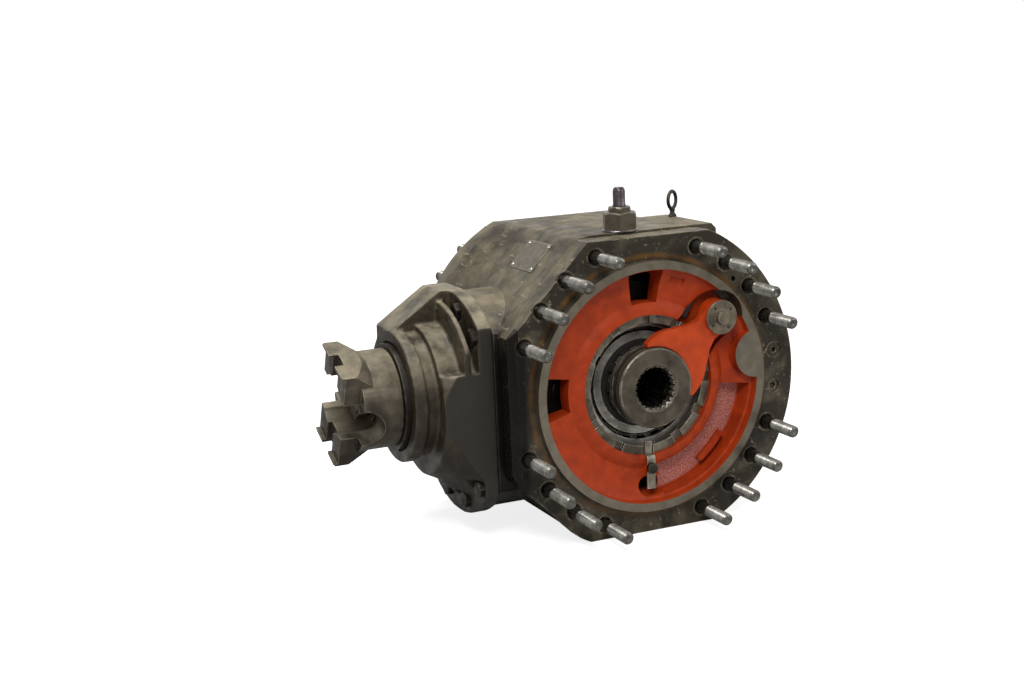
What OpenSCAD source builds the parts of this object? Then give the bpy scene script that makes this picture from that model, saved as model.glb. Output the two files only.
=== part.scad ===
// Rear axle differential with a dog-clutch lock, a bolted pinion cage and a wing-bearing yoke.
// Millimetres. Origin: centre of the near axle flange face. -Y leaves that face, +X points away
// from the pinion, +Z is up. The axle axis is Y, the pinion axis is parallel to X at mid width.

/* [Axle flanges] */
// Radius of the stud circle on both axle flanges
stud_circle_r = 212.5; // [210:0.5:216]
// Width of the housing from flange face to flange face
housing_w = 315; // [313:1:320]
// Thickness of each axle flange
flange_t = 34; // [30:1:36]
// Diameter of the studs
stud_d = 18; // [16:1:20]
// Length of stud that stands out of a flange face
stud_out = 75; // [60:1:80]

/* [Bearing carriers] */
// Outer radius of the pilot rim that stands proud of the flange face
rim_r = 184.5; // [183:0.5:185]
// Height of the pilot rim over the flange face
rim_out = 14; // [8:1:16]
// Outer radius of the side bearing cups
cup_r = 100; // [99:0.5:101]
// Radius of the bearing journals on the differential case
journal_r = 65; // [64:0.5:65.5]

/* [Gears] */
// Teeth on the ring gear
ring_teeth = 37; // [37]
// Teeth on the drive pinion
pinion_teeth = 12; // [12]
// Teeth on each side gear
side_teeth = 16; // [16]
// Teeth on each spider gear
spider_teeth = 10; // [10]
// Pitch radius of a side gear at its heel
side_pitch_r = 56; // [54:1:57]

/* [Differential lock] */
// Travel of the shift fork from open to locked
lock_travel = 9; // [7:0.5:9]
// Outer radius of the sliding dog sleeve
sleeve_r = 59; // [57:0.5:60]
// Angle of the fork rod about the axle, from +X towards +Z
rod_angle = 40; // [38:1:42]
// Distance of the fork rod from the axle axis
rod_offset = 143; // [140:1:144]

/* [Pinion line] */
// Distance of the cage nose face from the axle axis
nose_reach = 340; // [338:1:342]
// Distance of the yoke tips from the cage nose face
yoke_out = 98; // [96:1:106]
// Outer radius of the cage nose ring
nose_r = 98; // [96:1:100]
// Radius of the yoke barrel
yoke_r = 72; // [70:1:74]
// Width across the outer lips of the yoke
yoke_span = 156; // [154:1:158]
// Turn of the yoke about the pinion axis, top leaning to the near flange
yoke_turn = 25; // [0:5:45]

/* [Top fittings] */
// Length and width of the blank plate on the slanted face
plate_l = 76; // [60:1:80]
// Width of the blank plate
plate_w = 51; // [40:1:54]
// Across flats of the large hex of the breather
breather_af = 42; // [36:1:46]

/* [Hidden] */
$fn = 64;

// General clearances: running gap on a radius, and the overshoot of every cut
run = 0.05;
cut = 1;
mid_y = housing_w / 2;

// Housing outline, all tied to the stud circle
flange_r = 1.14 * stud_circle_r;
flat = 1.03 * stud_circle_r;
upper_flat = 1.04 * stud_circle_r;
lower_flat = 1.10 * stud_circle_r;
body_inset = 7;
bore_r = rim_r - 12.5;
body_r = bore_r + 24;
seat_y = 12;
seat_r = rim_r - 1;
seat_gap = 0.1;
pad_top = flat + 3;
pad_x0 = -70;
pad_x1 = 140;
pad_y0 = flange_t + 8;
pad_y1 = mid_y + 20;
stud_hole_d = stud_d + 9;
stud_hole_depth = 6;
stud_in = 26;
stud_root_r = stud_d / 2 - 0.45;
// Far studs are drawn this much thinner, so that two studs on one axis can be told apart
far_stud_less = 0.2;
stud_angles = [for (q = [0:3], s = [22.5, 37.5, 52.5, 67.5]) 90 * q + s];

// Bearings of the case: outboard face, cup and cone widths, measured from each flange face
nut_y = 9.5;
cup_y0 = 26;
cup_y1 = 58;
cone_y0 = 31;
cone_y1 = 64;
nut_r = cup_r + 4;
nut_in_r = cup_r - 9;
nut_slots = 12;
hub_r = nut_r + 9;
side_rollers = 22;
side_roller_r = 6;
side_line_r = (cup_r - 8 + journal_r + 9) / 2;

// Bare machined lobe inside the near rim
lobe_x = 172;
lobe_z = 30;
lobe_r = 36;

// Ring gear and pinion
gear_pitch_r = bore_r - 17;
pinion_pitch_r = gear_pitch_r * pinion_teeth / ring_teeth;
gear_cone = sqrt(pow(gear_pitch_r, 2) + pow(pinion_pitch_r, 2));
gear_face = 44;
gear_add = 5.5;
gear_ded = 7.5;
ring_back_y = mid_y - pinion_pitch_r - 26;
case_flange_t = 14;
case_flange_y = ring_back_y - case_flange_t;
ring_bolt_circle = 118;
ring_bolt_r = 7;
ring_flange_r = ring_bolt_circle + 27;

// Differential case, measured from the crossing of the gear axes
case_r = 98;
case_end = 80;
sphere_r = 78.1;
washer_t = 2;
side_back = 52;
side_pocket_r = side_pitch_r + 8;
pocket_end = side_back + washer_t;
hub_bore_r = 44;
nose_pin_r = 40;
spider_pitch_r = side_pitch_r * spider_teeth / side_teeth;
side_cone = sqrt(pow(side_pitch_r, 2) + pow(spider_pitch_r, 2));
side_face = 20;
side_add = 4;
side_ded = 5.6;
cross_r = 13;
cross_reach = 94;
case_bolt_circle = 88;
case_bolt_r = 6;

// Spline for the half shaft: 24 teeth
spline_teeth = 24;
spline_minor = 30;
spline_major = 32.5;

// Sliding sleeve and dogs, along Y
dog_count = 12;
dog_depth = 8;
dog_in_r = 46;
sleeve_y0 = -18;
groove_y = 6;
groove_r = 50;
sleeve_y1 = 14;
journal_y = sleeve_y1 + dog_depth + 2 + dog_depth;
sleeve_floor = -4;
hub_nose_y = sleeve_floor + lock_travel + 1;

// Shift fork
rod_r = 12;
fork_y0 = -12;
fork_y1 = nut_y - lock_travel - 0.5;
tongue_gap = 0.4;
rod_x = rod_offset * cos(rod_angle);
rod_z = rod_offset * sin(rod_angle);
rod_back = 52;
boss_r = 25;
fork_recess_y = 18;
recess_r = 39;
fork_bolt_in = 18;
fork_half = 58;
crescent_at = 40;
crescent_r = 56;

// Pinion line, h is the distance from the axle axis towards -X
spigot_h = bore_r + 4;
head_bearing = [spigot_h + 2, spigot_h + 38];
nose_bearing = [nose_reach - 62, nose_reach - 30];
head_journal_r = 42;
nose_journal_r = 36;
head_cup_r = 76;
nose_cup_r = 66;
spigot_r = 90;
cage_face = flat + 5;
cage_flange_t = 22;
shim_t = 1;
cage_drop = 20;
cage_flange_r = 168;
cage_half = mid_y - 45;
ledge_z = 42;
seal_bore_r = 50;
shield_r = nose_r - 19.5;
shield_gap = 1.5;
yoke_reach = nose_reach + yoke_out;
barrel_h = nose_reach + 8;
ear_h = yoke_reach - 46;
nut_seat_h = yoke_reach - 62;
ear_w = 90;
lip_in = 148;
keyway_w = 26;
gap_r = 30;
gap_l = 120;
yoke_nut_af = 46;
shaft_spline_r = 30;
thread_r = 20;
cage_bolt_circle = 146;
cage_bolt_angles = [40, 140, 166, 194, 220, 320, 345];

// Roller lines and widths of the two pinion bearings
head_line_r = (head_cup_r + head_journal_r) / 2;
nose_line_r = (nose_cup_r + nose_journal_r) / 2;
head_roller_r = 5.4;
nose_roller_r = 4.6;
head_w = head_bearing[1] - head_bearing[0];
nose_w = nose_bearing[1] - nose_bearing[0];

// Tapered rollers: angles of the inner race, the roller line and the outer race, race gap and rib share
taper_in = 10;
taper_mid = 12;
taper_out = 14;
race_gap = 0.03;
rib_share = 0.09;

// Small fittings on the near flange
dowel_r = 12;
screw_r = 10;
dowel_depth = 20;

// Top fittings: places, and radii of the rivets and threaded ends
breather_at = [-10, 62];
ring_at = [126, 150];
plate_y = 126;
plate_up = 45;
rivet_r = 3.2;
port_r = 10;
hook_r = 5;

// Plugs in the body
drain_y = mid_y;
plug_r = 13;

// Lock tab of the adjusting nut
tab_angle = 270;
tab_bolt_r = 5;
tab_t = 2.5;
tab_w = 13.5;
tab_y = 3;
tab_end = 140.5;

// Share of the pitch taken by a tooth
gear_share = 0.42;

// Colours of the kinds of metal
iron = [0.36, 0.33, 0.28];
red = [0.74, 0.23, 0.12];
steel = [0.66, 0.66, 0.64];
bright = [0.80, 0.80, 0.79];
dark = [0.22, 0.21, 0.20];

// Cylinder about the axle axis from y0 to y1
module cyl_y(r, y0, y1) {
    translate([0, y1, 0]) rotate([90, 0, 0]) cylinder(h = y1 - y0, r = r);
}

// Ring about the axle axis
module ring_y(ro, ri, y0, y1) {
    difference() {
        cyl_y(ro, y0, y1);
        cyl_y(ri, y0 - cut, y1 + cut);
    }
}

// Turned piece about the axle axis, points are [radius, y]
module spin_y(points) {
    rotate([-90, 0, 0]) rotate_extrude($fn = 96) polygon(points);
}

// Flat outline drawn in X and Z, extruded from y0 to y1
module slab(y0, y1) {
    translate([0, y1, 0]) rotate([90, 0, 0]) linear_extrude(y1 - y0) children();
}

// Puts children on a circle about the axle axis, angle from +X towards +Z
module at_angle(a, r) {
    rotate([0, -a, 0]) translate([r, 0, 0]) children();
}

// Stretch of a ring between two angles less than 150 degrees apart
module arc_block(ri, ro, a0, a1, y0, y1) {
    half = (a1 - a0) / 2;
    far = 1.5 * ro / cos(half / 2);
    intersection() {
        ring_y(ro, ri, y0, y1);
        slab(y0 - cut, y1 + cut)
            polygon([[0, 0], for (a = [a0, a0 + half, a1]) far * [cos(a), sin(a)]]);
    }
}

// Turns the near side into the far side
module far_side() {
    translate([0, housing_w, 0]) mirror([0, 1, 0]) children();
}

// Local frame of the pinion line: z is the distance from the axle axis, x is up, y is +Y
module on_pinion() {
    translate([0, mid_y, 0]) rotate([0, -90, 0]) children();
}

// Turned piece in a local frame, points are [radius, height]
module spin(points) {
    rotate_extrude($fn = 96) polygon(points);
}

// Hexagon prism by its width across flats
module hex(af, h) {
    cylinder(h = h, r = af / 2 / cos(30), $fn = 6);
}

// Hex bolt: head from z = 0 up, shank down
module hex_bolt(r, af, head_h, len) {
    hex(af, head_h * 0.9);
    translate([0, 0, head_h * 0.9]) cylinder(h = head_h * 0.1, r1 = af * 0.5, r2 = af * 0.44);
    translate([0, 0, -len]) cylinder(h = len + head_h / 2, r = r);
}

// Outline of a straight-sided spline
function spline_points(n, r_in, r_out) = [for (i = [0:n - 1], k = [0:3])
    let (a = 360 / n * (i + [-0.27, -0.17, 0.17, 0.27][k]), r = [r_in, r_out, r_out, r_in][k])
    [r * cos(a), r * sin(a)]];

// Point at cone distance d and cone angle g of a bevel gear, as [radius, height]
function cone_point(d, g) = [d * sin(g), d * cos(g)];

// Ring of straight bevel teeth with the apex at the origin; flank planes run through the apex
module bevel_teeth(n, g, dist, face, add, ded, share, flank, phase) {
    half_t = dist * sin(g) * 180 / n * PI / 180 * share;
    vertex = g + atan(half_t / tan(flank) / dist);
    root = g - atan(ded / dist) - 1;
    tip = g + atan(add / dist);
    deep = dist * tan(vertex - root) + 3;
    intersection() {
        spin([cone_point(dist - face, root), cone_point(dist, root),
            cone_point(dist, tip), cone_point(dist - face, tip)]);
        for (i = [0:n - 1]) rotate([0, 0, phase + 360 / n * i]) rotate([0, vertex, 0])
            translate([0, 0, dist - face - 4]) linear_extrude(face + 8)
                polygon([[0, 0], [-deep, -deep * tan(flank)], [-deep, deep * tan(flank)]]);
    }
}

// Tapered roller bearing: cone from z0 to z1, roller centre line at radius rm, roller radius rr

// Inner faces of the two ribs and the middle between them
function rib_low(z0, z1) = z0 + rib_share * (z1 - z0);
function rib_high(z0, z1) = z1 - 1.8 * rib_share * (z1 - z0);
function roller_mid(z0, z1) = (rib_low(z0, z1) + rib_high(z0, z1)) / 2;

module bearing_cup(ro, rm, rr, c0, c1, z0, z1) {
    r_at = rm + rr * cos(taper_out - taper_mid) / cos(taper_out) + race_gap;
    mid = roller_mid(z0, z1);
    spin([[ro, c0], [ro, c1], [r_at + (c1 - mid) * tan(taper_out), c1], [r_at + (c0 - mid)
        * tan(taper_out), c0]]);
}

module bearing_cone(ri, rm, rr, z0, z1) {
    low = rib_low(z0, z1);
    high = rib_high(z0, z1);
    half = (high - low) / 2 * tan(taper_in);
    r_at = rm - rr * cos(taper_mid - taper_in) / cos(taper_in) - race_gap;
    spin([[ri, z0], [r_at + 2 - half, z0], [r_at + 2 - half, low], [r_at - half, low], [r_at + half, high],
        [rm + 1.5, high], [rm + 1.5, z1], [ri, z1]]);
}

module bearing_rollers(rm, rr, z0, z1, n) {
    low = rib_low(z0, z1);
    high = rib_high(z0, z1);
    len = (high - low - 2 * rr * sin(taper_mid) - 0.6) / cos(taper_mid);
    grow = len * tan((taper_out - taper_in) / 2) / 2;
    for (i = [0:n - 1]) rotate([0, 0, 360 / n * i]) translate([rm, 0, roller_mid(z0, z1)])
        rotate([0, taper_mid, 0]) translate([0, 0, -len / 2])
            cylinder(h = len, r1 = rr - grow, r2 = rr + grow, $fn = 32);
    spin([for (p = [[-1.1, low + 0.5], [1.1, low + 0.5], [1.1, high - 0.5], [-1.1, high - 0.5]])
        [rm + p[0] + (p[1] - roller_mid(z0, z1)) * tan(taper_mid), p[1]]]);
}

// Slot outline along an arc of radius r, and a slot with round ends along x, as point lists
function arc_slot(r, half_w, a0, a1, n = 8) = concat(
    [for (i = [0:n]) let (a = a0 + (a1 - a0) * i / n) (r + half_w) * [cos(a), sin(a)]],
    [for (i = [1:n - 1]) let (t = a1 + 180 * i / n) r * [cos(a1), sin(a1)] + half_w * [cos(t), sin(t)]],
    [for (i = [0:n]) let (a = a1 + (a0 - a1) * i / n) (r - half_w) * [cos(a), sin(a)]],
    [for (i = [1:n - 1]) let (t = a0 + 180 + 180 * i / n) r * [cos(a0), sin(a0)] + half_w * [cos(t),
        sin(t)]]);
function arc_points(x, r, a0, a1, n = 24) = [for (i = [0:n]) let (a = a0 + (a1 - a0) * i / n)
    [x + r * cos(a), r * sin(a)]];
function round_slot(half_l, half_w, n = 12) = [for (s = [0, 1], i = [0:n])
    let (t = 180 * s - 90 + 180 * i / n) [(1 - 2 * s) * half_l + half_w * cos(t), half_w * sin(t)]];

// Outline of the near flange, with the slanted flats
module flange_outline(edge, upper, lower) {
    up = upper * sqrt(2) - edge;
    low = lower * sqrt(2) - edge;
    polygon([[flange_r + cut, -edge], [flange_r + cut, edge], [-up, edge], [-edge, up],
        [-edge, -low], [-low, -edge]]);
}

// One solid of the housing outline between two planes
module housing_form(r, edge, upper, lower, y0, y1) {
    intersection() {
        cyl_y(r, y0, y1);
        slab(y0, y1) flange_outline(edge, upper, lower);
    }
}

module housing_body() {
    inner = flat - body_inset;
    housing_form(flange_r, flat, upper_flat, lower_flat, 0, flange_t);
    intersection() {
        cyl_y(flange_r, housing_w - flange_t, housing_w);
        translate([-flange_r, 0, -flat]) cube([2 * flange_r, housing_w, 2 * flat]);
    }
    cyl_y(body_r, flange_t - cut, housing_w - flange_t + cut);
    intersection() {
        housing_form(flange_r, inner, upper_flat, lower_flat - 4, flange_t - cut, housing_w - flange_t + cut);
        translate([-2 * flange_r, 0, -flange_r]) cube([2 * flange_r + 90, housing_w, 2 * flange_r]);
    }
    pad();
    intersection() {
        on_pinion() translate([-cage_drop, 0, bore_r - 20]) cylinder(h = cage_face - bore_r + 20,
            r = cage_flange_r - 6);
        translate([-flange_r - 10, mid_y - cage_half, -flange_r]) cube([flange_r, 2 * cage_half,
            2 * flange_r]);
    }
}

// Machined pad on the top with a chamfered right side
module pad() {
    slab(pad_y0, pad_y1) polygon([[pad_x0, pad_top], [pad_x1 - 8, pad_top], [pad_x1, pad_top - 8],
        [pad_x1, flat - 55], [pad_x0, flat - 55]]);
}

module housing() {
    color(iron) difference() {
        housing_body();
        cyl_y(bore_r, -cut, housing_w + cut);
        cyl_y(seat_r + seat_gap, -cut, seat_y);
        cyl_y(seat_r + seat_gap, housing_w - seat_y, housing_w + cut);
        on_pinion() translate([0, 0, 100]) cylinder(h = 200, r = spigot_r);
        stud_holes();
        far_side() stud_holes();
        near_flange_holes();
        cage_bolt_holes(cage_face - 24, cage_face + cut);
        top_holes();
        lower_holes();
        left_bevel();
    }
}

// Bevel along the left edge of the near flange face
module left_bevel() {
    slab_x = flat + cut;
    translate([0, 0, -flange_r]) linear_extrude(2 * flange_r)
        polygon([[-slab_x, -cut], [-slab_x + 13, -cut], [-slab_x, 11]]);
}

module stud_holes() {
    for (a = stud_angles) at_angle(a, stud_circle_r) {
        cyl_y(stud_root_r, -cut, stud_in);
        cyl_y(stud_hole_d / 2, -cut, stud_hole_depth);
    }
}

module near_flange_holes() {
    at_angle(7.5, stud_circle_r) cyl_y(dowel_r, -cut, dowel_depth);
    at_angle(-7.5, stud_circle_r) cyl_y(screw_r, -cut, dowel_depth);
    at_angle(45, 0.95 * stud_circle_r) cyl_y(4, -cut, 16);
}

// Small fittings on the near flange

// Places of the top fittings, in X and Y

module top_holes() {
    translate([breather_at[0], breather_at[1], pad_top - 30]) cylinder(h = 40, r = port_r);
    translate([ring_at[0], ring_at[1], pad_top - 20]) cylinder(h = 30, r = hook_r);
    on_plate() for (x = [-1, 1], y = [-1, 1])
        translate([x * (plate_w / 2 - 5), y * (plate_l / 2 - 5), -8]) cylinder(h = 10, r = rivet_r / 2);
}

// Local frame on the slanted face: x up the slant, y along Y, z outwards
module on_plate() {
    rotate([0, -45, 0]) translate([plate_up, plate_y, upper_flat]) children();
}

module lower_holes() {
    translate([0, drain_y, -flange_r]) cylinder(h = 80, r = plug_r);
    translate([0, drain_y, -flat]) cylinder(h = body_inset + 14 - 1, r = 26);
    at_angle(-20, body_r - 60) translate([0, drain_y, 0]) rotate([0, 90, 0]) cylinder(h = 100, r = plug_r);
    at_angle(-20, body_r - 1) translate([0, drain_y, 0]) rotate([0, 90, 0]) cylinder(h = 60, r = 22);
}

// Stud with chamfered end and a small centre dimple
module stud(r) {
    tip = -stud_out;
    neck = stud_hole_depth - 1;
    spin_y([[0, tip + 2], [2.5, tip], [r - 2.5, tip], [r, tip + 2.5], [r, neck], [stud_root_r, neck],
        [stud_root_r, stud_in], [0, stud_in]]);
}

module near_studs() {
    color(bright) for (a = stud_angles) at_angle(a, stud_circle_r) stud(stud_d / 2);
}

module far_studs() {
    color(bright) far_side() for (a = stud_angles) at_angle(a, stud_circle_r)
        stud(stud_d / 2 - far_stud_less);
}

// Dished bearing carrier common to both sides
module carrier_form() {
    spin_y([[rim_r, -rim_out], [rim_r - 12.5, -rim_out], [rim_r - 14, -2], [150, 5], [hub_r + 12, 9],
        [hub_r, 3],
        [nut_r, 3], [nut_r, cup_y0], [cup_r, cup_y0], [cup_r, cup_y1], [hub_r, cup_y1], [hub_r + 4, 36],
        [bore_r - 12, 36], [bore_r - 12, 48], [bore_r - run, 48], [bore_r - run, seat_y],
        [seat_r, seat_y], [seat_r, 0], [rim_r, 0]]);
}

module carrier_windows() {
    arc_block(hub_r + 9, rim_r - 13, 95, 112, -rim_out - cut, 60);
    arc_block(hub_r + 15, rim_r - 13, 169, 191, -rim_out - cut, 60);
    slab(-rim_out - cut, 60) translate([0, -151]) polygon(round_slot(7, 15));
}

module near_carrier() {
    color(red) difference() {
        union() {
            carrier_form();
            intersection() {
                translate([lobe_x, 0, lobe_z]) cyl_y(lobe_r, -rim_out, seat_y - cut);
                cyl_y(rim_r - 5, -rim_out, seat_y - cut);
            }
            difference() {
                translate([rod_x, 0, rod_z]) cyl_y(boss_r, fork_recess_y + 12, cup_y1);
                cyl_y(hub_r - 2, -cut, cup_y1 + cut);
            }
            at_angle(270, hub_r + 12) cyl_y(2 * tab_bolt_r, tab_y, 30);
        }
        carrier_windows();
        carrier_pocket();
        fork_recess();
        translate([rod_x, 0, rod_z]) cyl_y(rod_r + run, -rim_out, cup_y1 + cut);
        at_angle(270, hub_r + 12) cyl_y(tab_bolt_r, -rim_out, 30);
        at_angle(72, 157) translate([-5, -cut, -13]) cube([10, 6, 26]);
        stop_bar_form();
    }
}

// Deep pocket on the lower right with a raised oval boss on its floor
module carrier_pocket() {
    difference() {
        arc_block(hub_r + 6, rim_r - 17, -84, -6, -rim_out - cut, 26);
        translate([lobe_x, 0, lobe_z]) cyl_y(lobe_r + 3, -rim_out - 2 * cut, 40);
        slab(14, 40) polygon(arc_slot(153, 5, -54, -37));
    }
}

module fork_recess() {
    slab(-rim_out - cut, fork_recess_y) rotate(rod_angle)
        polygon(concat([[0, recess_r], [0, -recess_r]], arc_points(rod_offset, recess_r, -90, 90)));
}

module far_carrier() {
    color(red) far_side() difference() {
        carrier_form();
        carrier_windows();
    }
}

module slotted_nut() {
    difference() {
        ring_y(nut_r, nut_in_r, nut_y, cup_y0);
        for (i = [0:nut_slots - 1]) at_angle(360 / nut_slots * i + tab_angle, nut_in_r - cut)
            translate([0, nut_y - cut, -7]) cube([20, 7, 14]);
    }
}

module near_nut() {
    color(steel) slotted_nut();
}

module far_nut() {
    color(steel) far_side() slotted_nut();
}

// Local frame of the side bearings: z runs along +Y from the flange face
module at_side_bearing() {
    rotate([-90, 0, 0]) children();
}

module side_cup() {
    at_side_bearing() bearing_cup(cup_r, side_line_r, side_roller_r, cup_y0, cup_y1, cone_y0, cone_y1);
}

module side_cone_ring() {
    at_side_bearing() bearing_cone(journal_r, side_line_r, side_roller_r, cone_y0, cone_y1);
}

module side_roller_set() {
    at_side_bearing() bearing_rollers(side_line_r, side_roller_r, cone_y0, cone_y1, side_rollers);
}

module near_cup() {
    color(bright) side_cup();
}

module far_cup() {
    color(bright) far_side() side_cup();
}

module near_cone() {
    color(bright) side_cone_ring();
}

module far_cone() {
    color(bright) far_side() side_cone_ring();
}

module near_rollers() {
    color(steel) side_roller_set();
}

module far_rollers() {
    color(steel) far_side() side_roller_set();
}

// Bent strip from a nut slot over the web to the lower window

module lock_tab() {
    color(steel) difference() {
        union() {
            translate([-tab_w / 2, nut_y + 1, -nut_r + 1]) cube([tab_w, tab_t, nut_r - nut_in_r - 2]);
            translate([-tab_w / 2, tab_y - tab_t, -tab_end]) cube([tab_w, tab_t,
                tab_end - nut_r + 1 + tab_t]);
            translate([-tab_w / 2, tab_y - tab_t, -nut_r + 1]) cube([tab_w, nut_y + 1 + 2 * tab_t - tab_y,
                tab_t]);
            translate([-tab_w / 2, tab_y - tab_t, -tab_end]) cube([tab_w, 12, tab_t]);
        }
        at_angle(270, hub_r + 12) cyl_y(tab_bolt_r, -10, 30);
    }
}

module lock_bolt() {
    color(steel) at_angle(270, hub_r + 12) translate([0, tab_y - tab_t, 0]) rotate([90, 0, 0])
        hex_bolt(tab_bolt_r, 16, 7, 24);
}

// Flat guide bar behind the fork
module stop_bar_form() {
    rotate([0, -58, 0]) translate([112, fork_recess_y - 8.4, -9]) cube([40, 11.4, 18]);
}

module stop_bar() {
    color(dark) stop_bar_form();
}

module nameplate() {
    color(steel) on_plate() difference() {
        translate([-plate_w / 2, -plate_l / 2, 0]) cube([plate_w, plate_l, 1.2]);
        for (x = [-1, 1], y = [-1, 1])
            translate([x * (plate_w / 2 - 5), y * (plate_l / 2 - 5), -cut]) cylinder(h = 4, r = rivet_r / 2);
    }
}

module plate_rivets() {
    color(bright) on_plate() for (x = [-1, 1], y = [-1, 1]) translate([x * (plate_w / 2 - 5),
        y * (plate_l / 2 - 5), 0]) {
        translate([0, 0, -8]) cylinder(h = 9.5, r = rivet_r / 2);
        translate([0, 0, 1.2]) spin([[0, 0], [rivet_r, 0], [rivet_r * 0.8, 1.2], [0, 1.8]]);
    }
}

// Breather: washer, large hex, small hex, nipple with a domed cap
module breather() {
    color(dark) translate([breather_at[0], breather_at[1], pad_top]) {
        translate([0, 0, -20]) cylinder(h = 24, r = port_r);
        cylinder(h = 3, r = breather_af * 0.56);
        translate([0, 0, 3]) rotate([0, 0, 10]) hex(breather_af, 24);
        translate([0, 0, 27]) rotate([0, 0, 10]) hex(breather_af * 0.68, 13);
        translate([0, 0, 40]) spin([[0, 0], [8.5, 0], [8.5, 18], [7.5, 21], [5, 23.5], [0, 24]]);
    }
}

// Small eye on a stem
module lift_ring() {
    color(steel) translate([ring_at[0], ring_at[1], pad_top]) {
        translate([0, 0, -16]) cylinder(h = 26, r = hook_r);
        cylinder(h = 3, r = 9);
        translate([0, 0, 20]) rotate([90, 0, 60]) rotate_extrude($fn = 64) translate([12, 0]) circle(r = 3,
            $fn = 32);
    }
}

module flange_dowel() {
    color(steel) at_angle(7.5, stud_circle_r) difference() {
        cyl_y(dowel_r, 1, dowel_depth);
        cyl_y(4, 0, 8);
    }
}

module flange_screw() {
    color(dark) at_angle(-7.5, stud_circle_r) difference() {
        cyl_y(screw_r, 4, dowel_depth);
        translate([0, 4 - cut, 0]) rotate([-90, 0, 0]) hex(9, 7);
    }
}

// Magnetic plug with a hex socket, axis along local z, seated at z = 0
module socket_plug() {
    difference() {
        union() {
            translate([0, 0, -30]) cylinder(h = 31, r = plug_r);
            cylinder(h = 8, r = 19);
        }
        translate([0, 0, 2]) hex(14, 10);
    }
}

module drain_plug() {
    color(dark) translate([0, drain_y, -flat + body_inset + 13]) mirror([0, 0, 1]) socket_plug();
}

module fill_plug() {
    color(dark) at_angle(-20, body_r - 1) translate([0, drain_y, 0]) rotate([0, 90, 0]) socket_plug();
}

// Keeps children between the two side flats of the cage
module cage_between() {
    intersection() {
        children();
        translate([-cage_flange_r * 2, -cage_half, 0]) cube([cage_flange_r * 4, 2 * cage_half,
            nose_reach + 10]);
    }
}

module cage_outside() {
    f0 = cage_face + shim_t;
    f1 = f0 + cage_flange_t;
    body_h = nose_reach - f1;
    cage_between() translate([-cage_drop, 0, f0]) cylinder(h = cage_flange_t, r = cage_flange_r);
    translate([0, 0, spigot_h]) cylinder(h = f0 - spigot_h + cut, r = spigot_r);
    // Lower body swells from the nose to the flange
    cage_between() translate([-cage_drop / 2, 0, 0])
        spin([[0, f1 - cut], [cage_flange_r - 14, f1 - cut], [cage_flange_r - 22, f1 + 0.09 * body_h],
            [nose_r + 24, f1 + 0.38 * body_h], [nose_r + 14, f1 + 0.59 * body_h], [0, f1 + 0.59 * body_h]]);
    // Nose ring with a turned groove behind it
    spin([[0, f1], [nose_r - 6, f1], [nose_r - 6, nose_reach - 20], [nose_r, nose_reach - 18], [nose_r,
        nose_reach - 1.5],
        [nose_r - 1.5, nose_reach], [0, nose_reach]]);
    // Gusset on the top
    translate([0, 62, 0]) rotate([90, 0, 0]) linear_extrude(70)
        polygon([[0, f0], [148, f0], [148, f1 + 16], [nose_r - 1, nose_reach - 1], [0, nose_reach - 1]]);
}

// Hollows of the upper near quadrant, which leave an arc rib
module cage_pockets() {
    f1 = cage_face + shim_t + cage_flange_t;
    r_out = cage_flange_r + 32;
    intersection() {
        union() {
            spin([[nose_r + 6, f1 + 1], [r_out, f1 + 1], [r_out, f1 + 12], [nose_r + 6, f1 + 12]]);
            spin([[nose_r + 4, f1 + 22], [r_out, f1 + 22], [r_out, nose_reach], [nose_r + 4, nose_reach]]);
            spin([[nose_r + 36, f1], [r_out, f1], [r_out, nose_reach], [nose_r + 36, nose_reach]]);
        }
        translate([ledge_z, -r_out, 0]) cube([r_out, r_out - 8, nose_reach + cut]);
    }
}

module pinion_cage() {
    color(iron) on_pinion() difference() {
        cage_outside();
        cage_pockets();
        translate([0, 0, spigot_h - cut]) cylinder(h = head_bearing[1] - 4 - spigot_h + cut, r = head_cup_r);
        translate([0, 0, head_bearing[1] - 5]) cylinder(h = 4, r = head_line_r + head_roller_r);
        translate([0, 0, spigot_h]) cylinder(h = nose_bearing[1] - spigot_h, r = nose_cup_r - 10);
        translate([0, 0, nose_bearing[0] + 3]) cylinder(h = nose_reach - nose_bearing[0] - 5, r = nose_cup_r);
        translate([0, 0, nose_reach - 8]) cylinder(h = 20, r = shield_r + shield_gap);
        cage_bolt_cuts();
    }
}

module cage_bolt_holes(h0, h1) {
    on_pinion() cage_bolt_places() translate([0, 0, h0]) cylinder(h = h1 - h0, r = ring_bolt_r);
}

module cage_bolt_places() {
    for (a = cage_bolt_angles) translate([-cage_drop, 0, 0]) rotate([0, 0, a]) translate([cage_bolt_circle,
        0, 0]) children();
}

module cage_bolt_cuts() {
    f1 = cage_face + shim_t + cage_flange_t;
    cage_bolt_places() {
        translate([0, 0, cage_face]) cylinder(h = 60, r = ring_bolt_r);
        translate([0, 0, f1 - 2]) cylinder(h = 80, r = 16);
    }
}

module cage_bolts() {
    color(dark) on_pinion() cage_bolt_places() translate([0, 0, cage_face + shim_t + cage_flange_t - 2])
        hex_bolt(ring_bolt_r, 22, 9, 40);
}

module cage_shim() {
    color(bright) on_pinion() difference() {
        cage_between() translate([-cage_drop, 0, cage_face]) cylinder(h = shim_t, r = cage_flange_r - 6);
        translate([0, 0, cage_face - cut]) cylinder(h = 4, r = spigot_r);
        cage_bolt_places() translate([0, 0, cage_face - cut]) cylinder(h = 4, r = ring_bolt_r);
    }
}

// The head bearing opens to the axle, the nose bearing faces it

module at_head_bearing() {
    on_pinion() translate([0, 0, head_bearing[1]]) mirror([0, 0, 1]) children();
}

module at_nose_bearing() {
    on_pinion() translate([0, 0, nose_bearing[0]]) children();
}

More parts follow.
